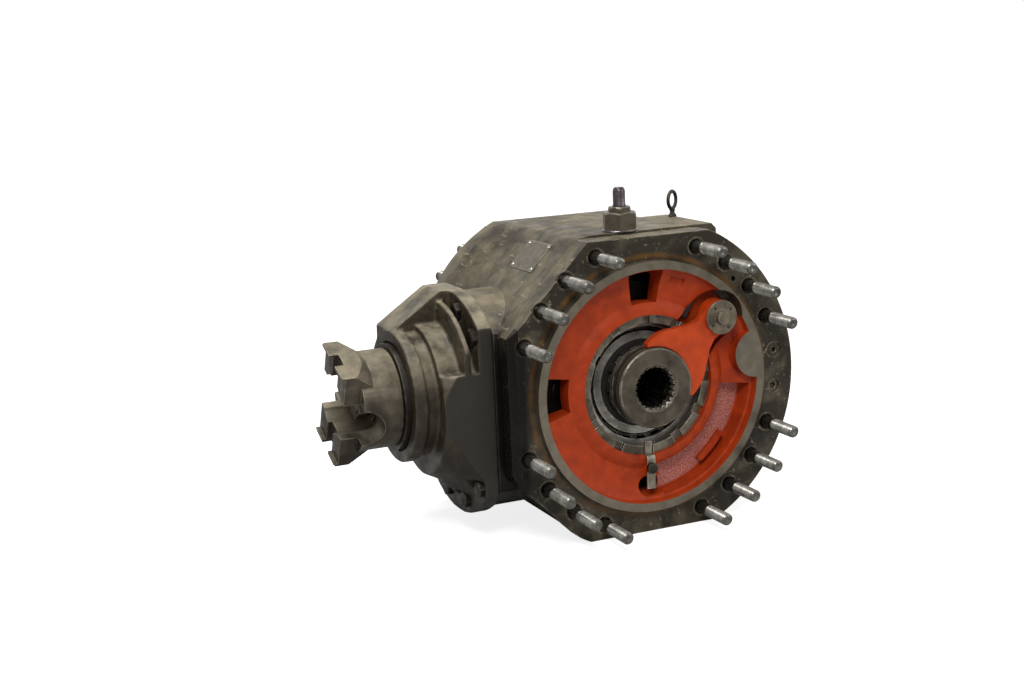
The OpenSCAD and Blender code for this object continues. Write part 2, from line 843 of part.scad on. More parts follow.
module head_cup() {
    color(bright) at_head_bearing() bearing_cup(head_cup_r, head_line_r, head_roller_r, 4, head_w - 2, 0,
        head_w);
}

module nose_cup() {
    color(bright) at_nose_bearing() bearing_cup(nose_cup_r, nose_line_r, nose_roller_r, 3, nose_w - 2, 0,
        nose_w);
}

module head_cone() {
    color(bright) at_head_bearing() bearing_cone(head_journal_r, head_line_r, head_roller_r, 0, head_w);
}

module nose_cone() {
    color(bright) at_nose_bearing() bearing_cone(nose_journal_r, nose_line_r, nose_roller_r, 0, nose_w);
}

module head_rollers() {
    color(steel) at_head_bearing() bearing_rollers(head_line_r, head_roller_r, 0, head_w, 18);
}

module nose_rollers() {
    color(steel) at_nose_bearing() bearing_rollers(nose_line_r, nose_roller_r, 0, nose_w, 18);
}

module oil_seal() {
    color(dark) on_pinion() spin([[nose_cup_r, nose_bearing[1] - 2], [nose_cup_r, nose_reach - 12],
        [seal_bore_r + run, nose_reach - 12], [seal_bore_r + run, nose_reach - 18], [nose_cup_r - 3,
            nose_reach - 18],
        [nose_cup_r - 3, nose_bearing[1] - 2]]);
}

// Near half of the case with the ring gear flange and the dog-toothed journal
module case_near() {
    color(dark) difference() {
        union() {
            cyl_y(case_r, case_flange_y, mid_y);
            cyl_y(ring_flange_r, case_flange_y, ring_back_y);
            cyl_y(journal_r + 14, cone_y1, case_flange_y + cut);
            cyl_y(journal_r, journal_y, cone_y1 + cut);
            dogs(journal_y - dog_depth, journal_y + cut, 0);
        }
        case_hollow();
        for (i = [0:11]) at_angle(30 * i, ring_bolt_circle) cyl_y(ring_bolt_r, case_flange_y - cut,
            ring_back_y + cut);
    }
}

module case_far() {
    color(dark) difference() {
        union() {
            cyl_y(case_r, mid_y, mid_y + case_end);
            cyl_y(journal_r + 14, mid_y + case_end - cut, housing_w - cone_y1);
            cyl_y(journal_r, housing_w - cone_y1 - cut, housing_w - journal_y);
        }
        case_hollow();
        for (i = [0:7]) at_angle(45 * i + 22.5, case_bolt_circle) cyl_y(13, mid_y + 30,
            mid_y + case_end + cut);
    }
}

// Everything cut from both halves
module case_hollow() {
    translate([0, mid_y, 0]) sphere(r = sphere_r, $fn = 96);
    cyl_y(side_pocket_r, mid_y - pocket_end, mid_y + pocket_end);
    cyl_y(hub_bore_r + run, 0, housing_w);
    cross_arms(cross_r);
    for (i = [0:7]) at_angle(45 * i + 22.5, case_bolt_circle) cyl_y(case_bolt_r, mid_y - 30, mid_y + 40);
    for (i = [0:3]) rotate([0, 45 + 90 * i, 0]) translate([60, mid_y, 0]) rotate([90, 0, 90])
        cylinder(h = 60, r = 19);
}

// Dog teeth on a face ring
module dogs(y0, y1, phase) {
    for (i = [0:dog_count - 1]) rotate([0, phase + 360 / dog_count * i, 0])
        arc_block(dog_in_r, sleeve_r - 1, -6, 6, y0, y1);
}

module ring_gear() {
    heel = ring_back_y;
    g = atan(gear_pitch_r / pinion_pitch_r);
    root = g - atan(gear_ded / gear_cone);
    p_out = cone_point(gear_cone, root);
    p_in = cone_point(gear_cone - gear_face, root);
    color(steel) difference() {
        translate([0, mid_y, 0]) rotate([90, 0, 0]) {
            bevel_teeth(ring_teeth, g, gear_cone, gear_face, gear_add, gear_ded, gear_share, 20,
                180 + 180 / ring_teeth);
            spin([[case_r, mid_y - heel], [p_out[0] - 4, mid_y - heel], p_out, p_in, [case_r, p_in[1]]]);
        }
        for (i = [0:11]) at_angle(30 * i, ring_bolt_circle) cyl_y(ring_bolt_r, heel - cut, heel + 18);
    }
}

module ring_bolts() {
    color(dark) for (i = [0:11]) at_angle(30 * i, ring_bolt_circle) translate([0, case_flange_y, 0])
        rotate([90, 0, 0]) hex_bolt(ring_bolt_r, 20, 7, case_flange_t + 16);
}

module case_bolts() {
    color(steel) for (i = [0:7]) at_angle(45 * i + 22.5, case_bolt_circle) translate([0, mid_y + 30, 0])
        rotate([-90, 0, 0]) hex_bolt(case_bolt_r, 18, 8, 56);
}

// Four arms that carry the spider gears
module cross_arms(r) {
    translate([0, mid_y, 0]) {
        translate([-cross_reach, 0, 0]) rotate([0, 90, 0]) cylinder(h = 2 * cross_reach, r = r);
        translate([0, 0, -cross_reach]) cylinder(h = 2 * cross_reach, r = r);
    }
}

module spider_cross() {
    color(steel) {
        cross_arms(cross_r);
        translate([0, mid_y, 0]) sphere(r = 21, $fn = 64);
    }
}

module side_washers() {
    color([0.72, 0.52, 0.24]) for (s = [0, 1]) translate([0, s * housing_w, 0]) mirror([0, s, 0])
        ring_y(side_pocket_r - 3, hub_bore_r + 1, mid_y - pocket_end, mid_y - side_back - run);
}

// Spherical washers behind the spider gears
module spider_washers() {
    color([0.72, 0.52, 0.24]) for (i = [0:3]) translate([0, mid_y, 0]) rotate([0, 90 * i, 0]) intersection() {
        difference() {
            sphere(r = sphere_r, $fn = 96);
            sphere(r = sphere_r - washer_t, $fn = 96);
            rotate([0, 90, 0]) cylinder(h = 100, r = cross_r);
        }
        rotate([0, 90, 0]) cylinder(h = 100, r = 26);
    }
}

// Side gear, local frame with the apex at the origin and the hub along +z
module side_gear(hub_end, nose_end) {
    g = atan(side_pitch_r / spider_pitch_r);
    root = g - atan(side_ded / side_cone);
    p_out = cone_point(side_cone, root);
    p_in = cone_point(side_cone - side_face, root);
    difference() {
        union() {
            bevel_teeth(side_teeth, g, side_cone, side_face, side_add, side_ded, gear_share, 22,
                180 / side_teeth);
            spin([[0, p_in[1]], p_in, p_out, [p_out[0] - 2, side_back], [hub_bore_r, side_back],
                [hub_bore_r, hub_end],
                [nose_pin_r, hub_end], [nose_pin_r, nose_end], [0, nose_end]]);
        }
        linear_extrude(400) polygon(spline_points(spline_teeth, spline_minor, spline_major));
    }
}

module side_gear_near() {
    color(steel) translate([0, mid_y, 0]) rotate([90, 0, 0]) side_gear(mid_y - journal_y, mid_y - hub_nose_y);
}

module side_gear_far() {
    color(steel) translate([0, mid_y, 0]) rotate([-90, 0, 0]) side_gear(mid_y - journal_y,
        mid_y - journal_y + 0.5);
}

// Spider gear, local frame with the apex at the origin and the back along +z
module spider_gear() {
    g = atan(spider_pitch_r / side_pitch_r);
    root = g - atan(side_ded / side_cone);
    p_out = cone_point(side_cone, root);
    p_in = cone_point(side_cone - side_face, root);
    difference() {
        intersection() {
            union() {
                bevel_teeth(spider_teeth, g, side_cone, side_face, side_add, side_ded, gear_share, 24, 90);
                spin([[0, p_in[1]], p_in, p_out, [p_out[0], 100], [0, 100]]);
            }
            sphere(r = sphere_r - washer_t - 0.1, $fn = 96);
        }
        cylinder(h = 100, r = cross_r + run);
    }
}

module spider_right() {
    color(steel) translate([0, mid_y, 0]) rotate([0, 90, 0]) spider_gear();
}

module spider_left() {
    color(steel) translate([0, mid_y, 0]) rotate([0, -90, 0]) spider_gear();
}

module spider_top() {
    color(steel) translate([0, mid_y, 0]) spider_gear();
}

module spider_bottom() {
    color(steel) translate([0, mid_y, 0]) rotate([180, 0, 0]) spider_gear();
}

module dog_sleeve() {
    color(steel) difference() {
        union() {
            spin_y([[0, sleeve_y0], [sleeve_r - 2, sleeve_y0], [sleeve_r, sleeve_y0 + 2], [sleeve_r,
                -groove_y], [groove_r, -groove_y],
                [groove_r, groove_y], [sleeve_r, groove_y], [sleeve_r, sleeve_y1], [0, sleeve_y1]]);
            dogs(sleeve_y1 - cut, sleeve_y1 + dog_depth, 15);
        }
        cyl_y(nose_pin_r + run, sleeve_floor, sleeve_y1 + cut);
        translate([0, sleeve_y0 - cut, 0]) rotate([-90, 0, 0])
            linear_extrude(40) polygon(spline_points(spline_teeth, spline_minor, spline_major));
        spin_y([[0, sleeve_y0 - cut], [spline_major + 4, sleeve_y0 - cut], [spline_minor - 1,
            sleeve_y0 + 4], [0, sleeve_y0 + 4]]);
    }
}

// Outline of the fork: half of the stem from the crescent to the boss, and where the crescent ends
stem_points = [[84, 38], [100, 26], [116, 20], [rod_offset, boss_r]];
horn = 38;
horn_reach = crescent_at * cos(fork_half) + sqrt(pow(crescent_r, 2) - pow(crescent_at * sin(fork_half), 2));
horn_end = acos((horn_reach * cos(fork_half) - crescent_at) / crescent_r);

module fork_plate(y0, y1) {
    difference() {
        slab(y0, y1) rotate(rod_angle) polygon(concat([[horn * cos(fork_half), -horn * sin(fork_half)]],
            arc_points(crescent_at, crescent_r, -horn_end, -45),
            [for (s = [-1, 1], i = [0:3]) let (p = stem_points[s < 0 ? i : 3 - i]) [p[0], s * p[1]]],
            arc_points(crescent_at, crescent_r, 45, horn_end), [[horn * cos(fork_half),
                horn * sin(fork_half)]]));
        cyl_y(sleeve_r + 1.5, y0 - cut, y1 + cut);
    }
}

module shift_fork() {
    color(red) difference() {
        union() {
            fork_plate(fork_y0, fork_y1);
            translate([rod_x, 0, rod_z]) cyl_y(boss_r, fork_y0 - 6, fork_y1 + 6);
            arc_block(groove_r + tongue_gap, sleeve_r + 5, rod_angle - fork_half + 2,
                rod_angle + fork_half - 2,
                -groove_y + tongue_gap, groove_y - tongue_gap);
        }
        translate([rod_x, 0, rod_z]) cyl_y(rod_r, fork_y0 - 10, fork_y1 + 10);
    }
}

module fork_rod() {
    color(dark) translate([rod_x, 0, rod_z]) difference() {
        cyl_y(rod_r, fork_y0 - 6, rod_back);
        cyl_y(8, fork_y0 - 7, fork_y0 - 6 + fork_bolt_in);
    }
}

module fork_bolt() {
    color(steel) translate([rod_x, fork_y0 - 6, rod_z]) {
        cyl_y(boss_r + 2, -4, 0);
        translate([0, -4, 0]) rotate([90, 0, 0]) hex_bolt(8, 24, 10, 4 + fork_bolt_in);
    }
}

module pinion_shaft() {
    g = atan(pinion_pitch_r / gear_pitch_r);
    root = g - atan(gear_ded / gear_cone);
    p_out = cone_point(gear_cone, root);
    p_in = cone_point(gear_cone - gear_face, root);
    color(steel) on_pinion() {
        bevel_teeth(pinion_teeth, g, gear_cone, gear_face, gear_add, gear_ded, gear_share, 24, -90);
        spin([[0, p_in[1]], p_in, p_out, [p_out[0], head_bearing[0]], [head_journal_r, head_bearing[0]],
            [head_journal_r, head_bearing[1]], [nose_journal_r, head_bearing[1]], [nose_journal_r,
                nose_bearing[1]],
            [shaft_spline_r, nose_bearing[1]], [shaft_spline_r, nut_seat_h - 4], [thread_r, nut_seat_h - 4],
            [thread_r, nut_seat_h + 26], [0, nut_seat_h + 26]]);
    }
}

module bearing_spacer() {
    color(steel) on_pinion() difference() {
        translate([0, 0, head_bearing[1]]) cylinder(h = nose_bearing[0] - head_bearing[1],
            r = nose_journal_r + 5);
        translate([0, 0, head_bearing[1] - cut]) cylinder(h = 100, r = nose_journal_r);
    }
}

// Wing-bearing yoke: barrel, two ears with lips and keyways
module yoke() {
    color(steel) on_pinion() rotate([0, 0, -yoke_turn]) difference() {
        union() {
            spin([[0, nose_bearing[1]], [seal_bore_r, nose_bearing[1]], [seal_bore_r, barrel_h],
                [yoke_r - 2, barrel_h],
                [yoke_r, barrel_h + 2], [yoke_r, ear_h + 14], [0, ear_h + 14]]);
            yoke_ears();
        }
        cylinder(h = yoke_reach, r = shaft_spline_r);
        translate([0, 0, nut_seat_h]) cylinder(h = yoke_reach - nut_seat_h, r = 44);
        for (s = [-1, 1]) translate([0, s * yoke_r, ear_h + 14]) yoke_gap();
        yoke_faces();
    }
}

module yoke_ears() {
    half = yoke_span / 2;
    intersection() {
        translate([-half, -ear_w / 2, ear_h - 10]) cube([2 * half, ear_w, yoke_reach - ear_h + 10]);
        spin([[0, ear_h - 30], [yoke_r - 4, ear_h - 10], [half + 12, ear_h + 24], [half + 12,
            yoke_reach - 2], [half + 10, yoke_reach],
            [0, yoke_reach]]);
    }
}

// Round-bottomed opening between the ears
module yoke_gap() {
    rotate([90, 0, 0]) translate([0, 0, -gap_l / 2]) {
        cylinder(h = gap_l, r = gap_r);
        translate([-gap_r, 0, 0]) cube([2 * gap_r, yoke_reach - ear_h, gap_l]);
    }
}

// Seats of the wing bearings: a step between the lips and a keyway through each ear
module yoke_faces() {
    translate([-lip_in / 2, -ear_w, yoke_reach - 6]) cube([lip_in, 2 * ear_w, 20]);
    translate([-yoke_span, -keyway_w / 2, yoke_reach - 14]) cube([2 * yoke_span, keyway_w, 20]);
}

module dust_shield() {
    color(dark) on_pinion() difference() {
        translate([0, 0, nose_reach - 4]) cylinder(h = barrel_h - nose_reach + 4, r = shield_r);
        translate([0, 0, nose_reach - 5]) cylinder(h = 40, r = seal_bore_r);
    }
}

module yoke_washer() {
    color(bright) on_pinion() difference() {
        translate([0, 0, nut_seat_h]) cylinder(h = 4, r = 33);
        translate([0, 0, nut_seat_h - cut]) cylinder(h = 10, r = thread_r);
    }
}

module yoke_nut() {
    color(steel) on_pinion() difference() {
        translate([0, 0, nut_seat_h + 4]) hex(yoke_nut_af, 20);
        translate([0, 0, nut_seat_h]) cylinder(h = 40, r = thread_r);
    }
}

housing();
near_carrier();
far_carrier();
near_studs();
far_studs();
near_nut();
far_nut();
near_cup();
far_cup();
lock_tab();
lock_bolt();
stop_bar();
nameplate();
plate_rivets();
breather();
lift_ring();
flange_dowel();
flange_screw();
drain_plug();
fill_plug();
pinion_cage();
cage_bolts();
cage_shim();
head_cup();
nose_cup();
oil_seal();
case_near();
case_far();
ring_gear();
ring_bolts();
case_bolts();
spider_cross();
near_cone();
far_cone();
near_rollers();
far_rollers();
side_washers();
spider_washers();
side_gear_near();
side_gear_far();
spider_right();
spider_left();
spider_top();
spider_bottom();
dog_sleeve();
shift_fork();
fork_rod();
fork_bolt();
pinion_shaft();
head_cone();
nose_cone();
head_rollers();
nose_rollers();
bearing_spacer();
yoke();
dust_shield();
yoke_nut();
yoke_washer();
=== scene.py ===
"""Dresses a rear axle differential: rounded castings, threaded studs, paint, machined steel and grime."""
import logging
import math
from dataclasses import dataclass
from enum import Enum
from typing import Callable, ClassVar, Iterable, Iterator, Sequence

import bmesh
import bpy
from mathutils import Matrix, Vector, noise


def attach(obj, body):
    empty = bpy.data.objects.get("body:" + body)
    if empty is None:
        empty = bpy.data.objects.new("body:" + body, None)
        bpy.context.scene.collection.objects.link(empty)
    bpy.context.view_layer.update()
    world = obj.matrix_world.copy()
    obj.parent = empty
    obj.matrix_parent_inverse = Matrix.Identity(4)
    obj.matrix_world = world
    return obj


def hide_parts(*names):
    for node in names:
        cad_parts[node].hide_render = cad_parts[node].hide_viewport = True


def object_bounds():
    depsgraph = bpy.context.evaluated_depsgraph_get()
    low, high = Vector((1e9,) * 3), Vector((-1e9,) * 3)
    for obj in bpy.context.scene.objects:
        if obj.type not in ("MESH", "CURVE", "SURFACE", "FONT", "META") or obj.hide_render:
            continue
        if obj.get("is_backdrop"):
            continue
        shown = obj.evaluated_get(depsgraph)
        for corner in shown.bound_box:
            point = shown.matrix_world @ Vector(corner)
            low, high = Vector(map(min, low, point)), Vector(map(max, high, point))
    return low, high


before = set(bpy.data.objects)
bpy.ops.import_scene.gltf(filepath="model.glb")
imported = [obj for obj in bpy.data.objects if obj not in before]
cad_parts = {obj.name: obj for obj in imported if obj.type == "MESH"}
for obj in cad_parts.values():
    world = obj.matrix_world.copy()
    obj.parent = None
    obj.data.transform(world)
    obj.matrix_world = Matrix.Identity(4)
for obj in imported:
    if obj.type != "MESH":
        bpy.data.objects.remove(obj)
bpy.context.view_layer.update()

LOG = logging.getLogger("differential")
Color = tuple[float, float, float, float]
Socket = bpy.types.NodeSocket
Node = bpy.types.Node
Mesh = bmesh.types.BMesh
Row = list[bmesh.types.BMVert]
Profile = Sequence[tuple[float, float]]

# Body that most pieces ride on
HOUSING = "axle_housing"
# Housing and flanges, in metres
STUD_CIRCLE = 0.2125
STUD_STEPS = (22.5, 37.5, 52.5, 67.5)
WIDTH = 0.315
MID_Y = WIDTH / 2
FLANGE_RADIUS = 0.24225
FLAT = 0.218875
UPPER_FLAT = 0.221
UPPER_FLAT_ANGLE = 135.0
PAD_TOP = 0.22187
# Near carrier
RIM_INNER = 0.1718
RIM_OUTER = 0.1847
RIM_FACE_Y = -0.0134
LOBE = (0.172, 0.030)
LOBE_RADIUS = 0.0362
POCKET_RING = (0.1225, 0.1662)
POCKET_DEPTH = (0.020, 0.040)
POCKET_LEFT_X = 0.012
POCKET_TOP_Z = -0.010
# Cage and fork
CAGE_FLAT_Y = 0.0466
CHORD_Y = 0.0458
ROD = (0.10954, 0.09192)
FORK_FACE_Y = -0.018
# Stained places of the housing, and its lower left side where shade is painted
OIL_OUTER = 0.197
FACE_Y = 0.0008
BEVEL_X = -0.2052
BEVEL_Y = 0.013
SHADED_SIDE_X = -0.188
SHADED_SIDE_TOP_Z = 0.115
ROOF_Z = 0.2
TARRY_X = 0.03
# Widths of edges between places and of rounded edges
HARD_EDGE = 0.0004
LARGE_EDGE = 0.0028
SMALL_EDGE = 0.0006
# Direction from the part to the camera, seen from above
TO_CAMERA = math.radians(-113.2)


def rgb(code: str) -> Color:
    """Return the linear colour of a written hex colour.

    Args:
        code: Six hex digits, as seen on screen.

    Returns:
        Linear red, green, blue and alpha.
    """
    values = [int(code[i:i + 2], 16) / 255 for i in (0, 2, 4)]
    linear = [v / 12.92 if v <= 0.04045 else ((v + 0.055) / 1.055) ** 2.4 for v in values]
    return (linear[0], linear[1], linear[2], 1.0)


class Axis(Enum):
    """Axis that a turned face is machined about."""

    AXLE = "axle"
    PINION = "pinion"


class Zone(Enum):
    """Places where a casting's surface differs from the rest of it, or where shade or a highlight is painted
    on it.
    """

    # also lays a painted highlight on the near carrier's pocket floor
    RIM = "machined rim and lobe of a carrier"
    # also lays painted shade on the housing's lower left side
    FLANGE = "oily ring round the rim and the black bevel of the housing"
    # also lays painted shade on the lower part of the cage
    CHORD = "flat black chord face of the cage"
    # Painted shade, not oil: the yoke darkens towards its underside
    YOKE_SHADE = "oily underside of the yoke"


class Graph:
    """Small helper that adds and links shader nodes in one tree."""

    def __init__(self, tree: bpy.types.NodeTree) -> None:
        """Keep the tree that nodes are added to."""
        self.tree = tree

    def set(self, node: Node, key: "str | int", value: object) -> None:
        """Feed one input of a node.

        Args:
            node: Node whose input is fed.
            key: Name or number of the input.
            value: Another node's output, or a constant.
        """
        if isinstance(value, bpy.types.NodeSocket):
            self.tree.links.new(value, node.inputs[key])
        else:
            node.inputs[key].default_value = value

    def add(self, kind: str, values: "dict | None" = None, **settings: object) -> Node:
        """Add a shader node.

        Args:
            kind: Node type after ShaderNode, such as TexNoise.
            values: Inputs by name or number.
            **settings: Properties of the node itself.

        Returns:
            The new node.
        """
        node = self.tree.nodes.new("ShaderNode" + kind)
        for name, value in settings.items():
            setattr(node, name, value)
        for key, value in (values or {}).items():
            self.set(node, key, value)
        return node

    def math(self, operation: str, a: object, b: object = 0.0) -> Socket:
        """Return the output of a Math node."""
        return self.add("Math", {0: a, 1: b}, operation=operation).outputs[0]

    def times(self, *factors: object) -> Socket:
        """Return the product of two or more values.

        Args:
            *factors: Outputs of nodes, or constants.

        Returns:
            The product.
        """
        product = self.math("MULTIPLY", factors[0], factors[1])
        for factor in factors[2:]:
            product = self.math("MULTIPLY", product, factor)
        return product

    def noise(self, vector: object, scale: object, detail: float, warp: float = 0.0,
              rough: float = 0.5) -> Socket:
        """Return the value of a noise texture."""
        values = {"Vector": vector, "Scale": scale, "Detail": detail, "Distortion": warp, "Roughness": rough}
        return self.add("TexNoise", values).outputs[0]

    def span(self, value: object, low: object, high: object, start: float = 0.0, end: float = 1.0) -> Socket:
        """Return the value mapped from one range to another, clamped."""
        return self.add("MapRange", {0: value, 1: low, 2: high, 3: start, 4: end}).outputs[0]

    def mix(self, share: object, a: object, b: object) -> Socket:
        """Return the mix of two colours."""
        return self.add("Mix", {0: share, 6: a, 7: b}, data_type="RGBA").outputs[2]

    def length(self, vector: object) -> Socket:
        """Return the length of a vector."""
        return self.add("VectorMath", {0: vector}, operation="LENGTH").outputs["Value"]

    def place(self) -> Socket:
        """Return the place of a point in the part's frame."""
        return self.add("TexCoord").outputs["Object"]

    def group(self, tree: bpy.types.NodeTree, **values: object) -> Node:
        """Place a shared effect with its own values.

        Args:
            tree: Node group of the effect.
            **values: Its inputs, by their names in small letters.

        Returns:
            The new group node.
        """
        node = self.tree.nodes.new("ShaderNodeGroup")
        node.node_tree = tree
        for key, value in values.items():
            self.set(node, key.title(), value)
        return node


class Effects:
    """Shared effects, each built once as a node group.

    Each effect's method takes the graph of its group and the node that holds the group's inputs, and
    returns the sockets that the group puts out, in order.
    """

    def __init__(self) -> None:
        """Build every group."""
        mask, relief = ["Mask"], ["Height", "Tone"]
        wear = {"Vector": None, "Radius": 0.003, "Spread": 60.0}
        grime = {"Vector": None, "Scale": 12.0, "Cover": 0.5}
        band = {"Vector": None, "Inner": 0.0, "Outer": 0.1, "Soft": HARD_EDGE}
        beyond = {"Value": 0.0, "Edge": 0.0, "Soft": HARD_EDGE}
        self.wear = self._build("edge wear", wear, mask, self._wear)
        self.grain = self._build("cast grain", {"Vector": None, "Scale": 300.0}, relief, self._grain)
        self.grime = self._build("grime", grime, mask, self._grime)
        self.dust = self._build("settled dust", {"Vector": None, "Scale": 20.0}, mask, self._dust)
        self.turned = self._build("turned rings", {"Vector": None, "Pitch": 900.0}, relief, self._turned)
        self.scratch = self._build("scratches", {"Vector": None, "Scale": 30.0}, mask, self._scratch)
        self.band = self._build("band about the axle", band, mask, self._band)
        self.beyond = self._build("beyond a plane", beyond, mask, self._beyond)

    def _build(self, name: str, inputs: "dict[str, float | None]", outputs: Sequence[str],
               fill: "Callable[[Graph, Node], Iterable[Socket]]") -> bpy.types.NodeTree:
        """Make one group.

        Args:
            name: Name of the group.
            inputs: Input names with their usual values; None marks a vector.
            outputs: Names of the values it puts out.
            fill: Function that adds the nodes and returns the outputs in order.

        Returns:
            The node tree of the group.
        """
        tree = bpy.data.node_groups.new(name, "ShaderNodeTree")
        for key, value in inputs.items():
            kind = "NodeSocketVector" if value is None else "NodeSocketFloat"
            socket = tree.interface.new_socket(key, in_out="INPUT", socket_type=kind)
            if value is not None:
                socket.default_value = value
        for key in outputs:
            tree.interface.new_socket(key, in_out="OUTPUT", socket_type="NodeSocketFloat")
        start = tree.nodes.new("NodeGroupInput")
        end = tree.nodes.new("NodeGroupOutput")
        graph = Graph(tree)
        for key, socket in zip(outputs, fill(graph, start)):
            graph.set(end, key, socket)
        return tree

    @staticmethod
    def _wear(g: Graph, start: Node) -> list[Socket]:
        """Mask of worn edges: where a rounded normal leaves the true one, broken up by noise.

        Args:
            g: Graph of the group.
            start: Node with the group's inputs.

        Returns:
            The mask.
        """
        rounded = g.add("Bevel", {"Radius": start.outputs["Radius"]}, samples=4).outputs[0]
        true = g.add("NewGeometry").outputs["Normal"]
        same = g.add("VectorMath", {0: rounded, 1: true}, operation="DOT_PRODUCT").outputs["Value"]
        broken = g.noise(start.outputs["Vector"], start.outputs["Spread"], 5.0)
        return [g.times(g.span(same, 0.995, 0.86), g.span(broken, 0.38, 0.6))]

    @staticmethod
    def _grain(g: Graph, start: Node) -> list[Socket]:
        """Sand-cast skin: fine grains with shallow pits.

        Args:
            g: Graph of the group.
            start: Node with the group's inputs.

        Returns:
            The height and the tone.
        """
        vector, scale = start.outputs["Vector"], start.outputs["Scale"]
        fine = g.noise(vector, scale, 6.0, rough=0.6)
        coarse = g.noise(vector, g.times(scale, 0.22), 3.0)
        pits = g.add("TexVoronoi", {"Vector": vector, "Scale": g.times(scale, 0.45)}).outputs[0]
        skin = g.math("ADD", fine, coarse)
        return [g.math("ADD", skin, g.span(pits, 0.0, 0.35, 0.0, 0.6)), g.span(coarse, 0.3, 0.7)]

    @staticmethod
    def _grime(g: Graph, start: Node) -> list[Socket]:
        """Patches of oil and dirt with soft broken rims.

        Args:
            g: Graph of the group.
            start: Node with the group's inputs.

        Returns:
            The mask.
        """
        large = g.noise(start.outputs["Vector"], start.outputs["Scale"], 7.0, 0.6, 0.62)
        low = g.math("SUBTRACT", 0.62, g.times(start.outputs["Cover"], 0.3))
        return [g.span(large, low, g.math("ADD", low, 0.12))]

    @staticmethod
    def _dust(g: Graph, start: Node) -> list[Socket]:
        """Dust that lies on faces that look up.

        Args:
            g: Graph of the group.
            start: Node with the group's inputs.

        Returns:
            The mask.
        """
        up = g.add("SeparateXYZ", {0: g.add("NewGeometry").outputs["Normal"]}).outputs["Z"]
        patch = g.noise(start.outputs["Vector"], start.outputs["Scale"], 8.0, rough=0.65)
        return [g.times(g.span(up, 0.15, 0.95), g.span(patch, 0.36, 0.66))]

    @staticmethod
    def _turned(g: Graph, start: Node) -> list[Socket]:
        """Fine tool marks about the z axis of the vector.

        Args:
            g: Graph of the group.
            start: Node with the group's inputs.

        Returns:
            The height and the tone.
        """
        part = g.add("SeparateXYZ", {0: start.outputs["Vector"]}).outputs
        radius = g.length(g.add("CombineXYZ", {0: part["X"], 1: part["Y"]}).outputs[0])
        line = g.add("CombineXYZ", {0: radius, 1: part["Z"]}).outputs[0]
        marks = g.noise(line, start.outputs["Pitch"], 3.0)
        return [marks, g.span(marks, 0.35, 0.65)]

    @staticmethod
    def _scratch(g: Graph, start: Node) -> list[Socket]:
        """Long thin scuffs that run across the width.

        Args:
            g: Graph of the group.
            start: Node with the group's inputs.

        Returns:
            The mask.
        """
        stretched = g.add("Mapping", {"Vector": start.outputs["Vector"], "Scale": (5.0, 0.8, 5.0),
                                      "Rotation": (0.0, 0.3, 0.25)}).outputs[0]
        return [g.span(g.noise(stretched, start.outputs["Scale"], 6.0, rough=0.75), 0.60, 0.66)]

    @staticmethod
    def _band(g: Graph, start: Node) -> list[Socket]:
        """Mask of a ring about the axle axis between two radii.

        Args:
            g: Graph of the group.
            start: Node with the group's inputs.

        Returns:
            The mask.
        """
        part = g.add("SeparateXYZ", {0: start.outputs["Vector"]}).outputs
        radius = g.length(g.add("CombineXYZ", {0: part["X"], 1: part["Z"]}).outputs[0])
        gaps = (g.math("SUBTRACT", radius, start.outputs["Inner"]),
                g.math("SUBTRACT", start.outputs["Outer"], radius))
        inside, outside = (g.math("DIVIDE", gap, start.outputs["Soft"]) for gap in gaps)
        return [g.span(g.math("MINIMUM", inside, outside), 0.0, 1.0)]

    @staticmethod
    def _beyond(g: Graph, start: Node) -> list[Socket]:
        """Mask of values below an edge, one coordinate of a place.

        Args:
            g: Graph of the group.
            start: Node with the group's inputs.

        Returns:
            The mask.
        """
        gap = g.math("SUBTRACT", start.outputs["Edge"], start.outputs["Value"])
        return [g.span(g.math("DIVIDE", gap, start.outputs["Soft"]), 0.0, 1.0)]


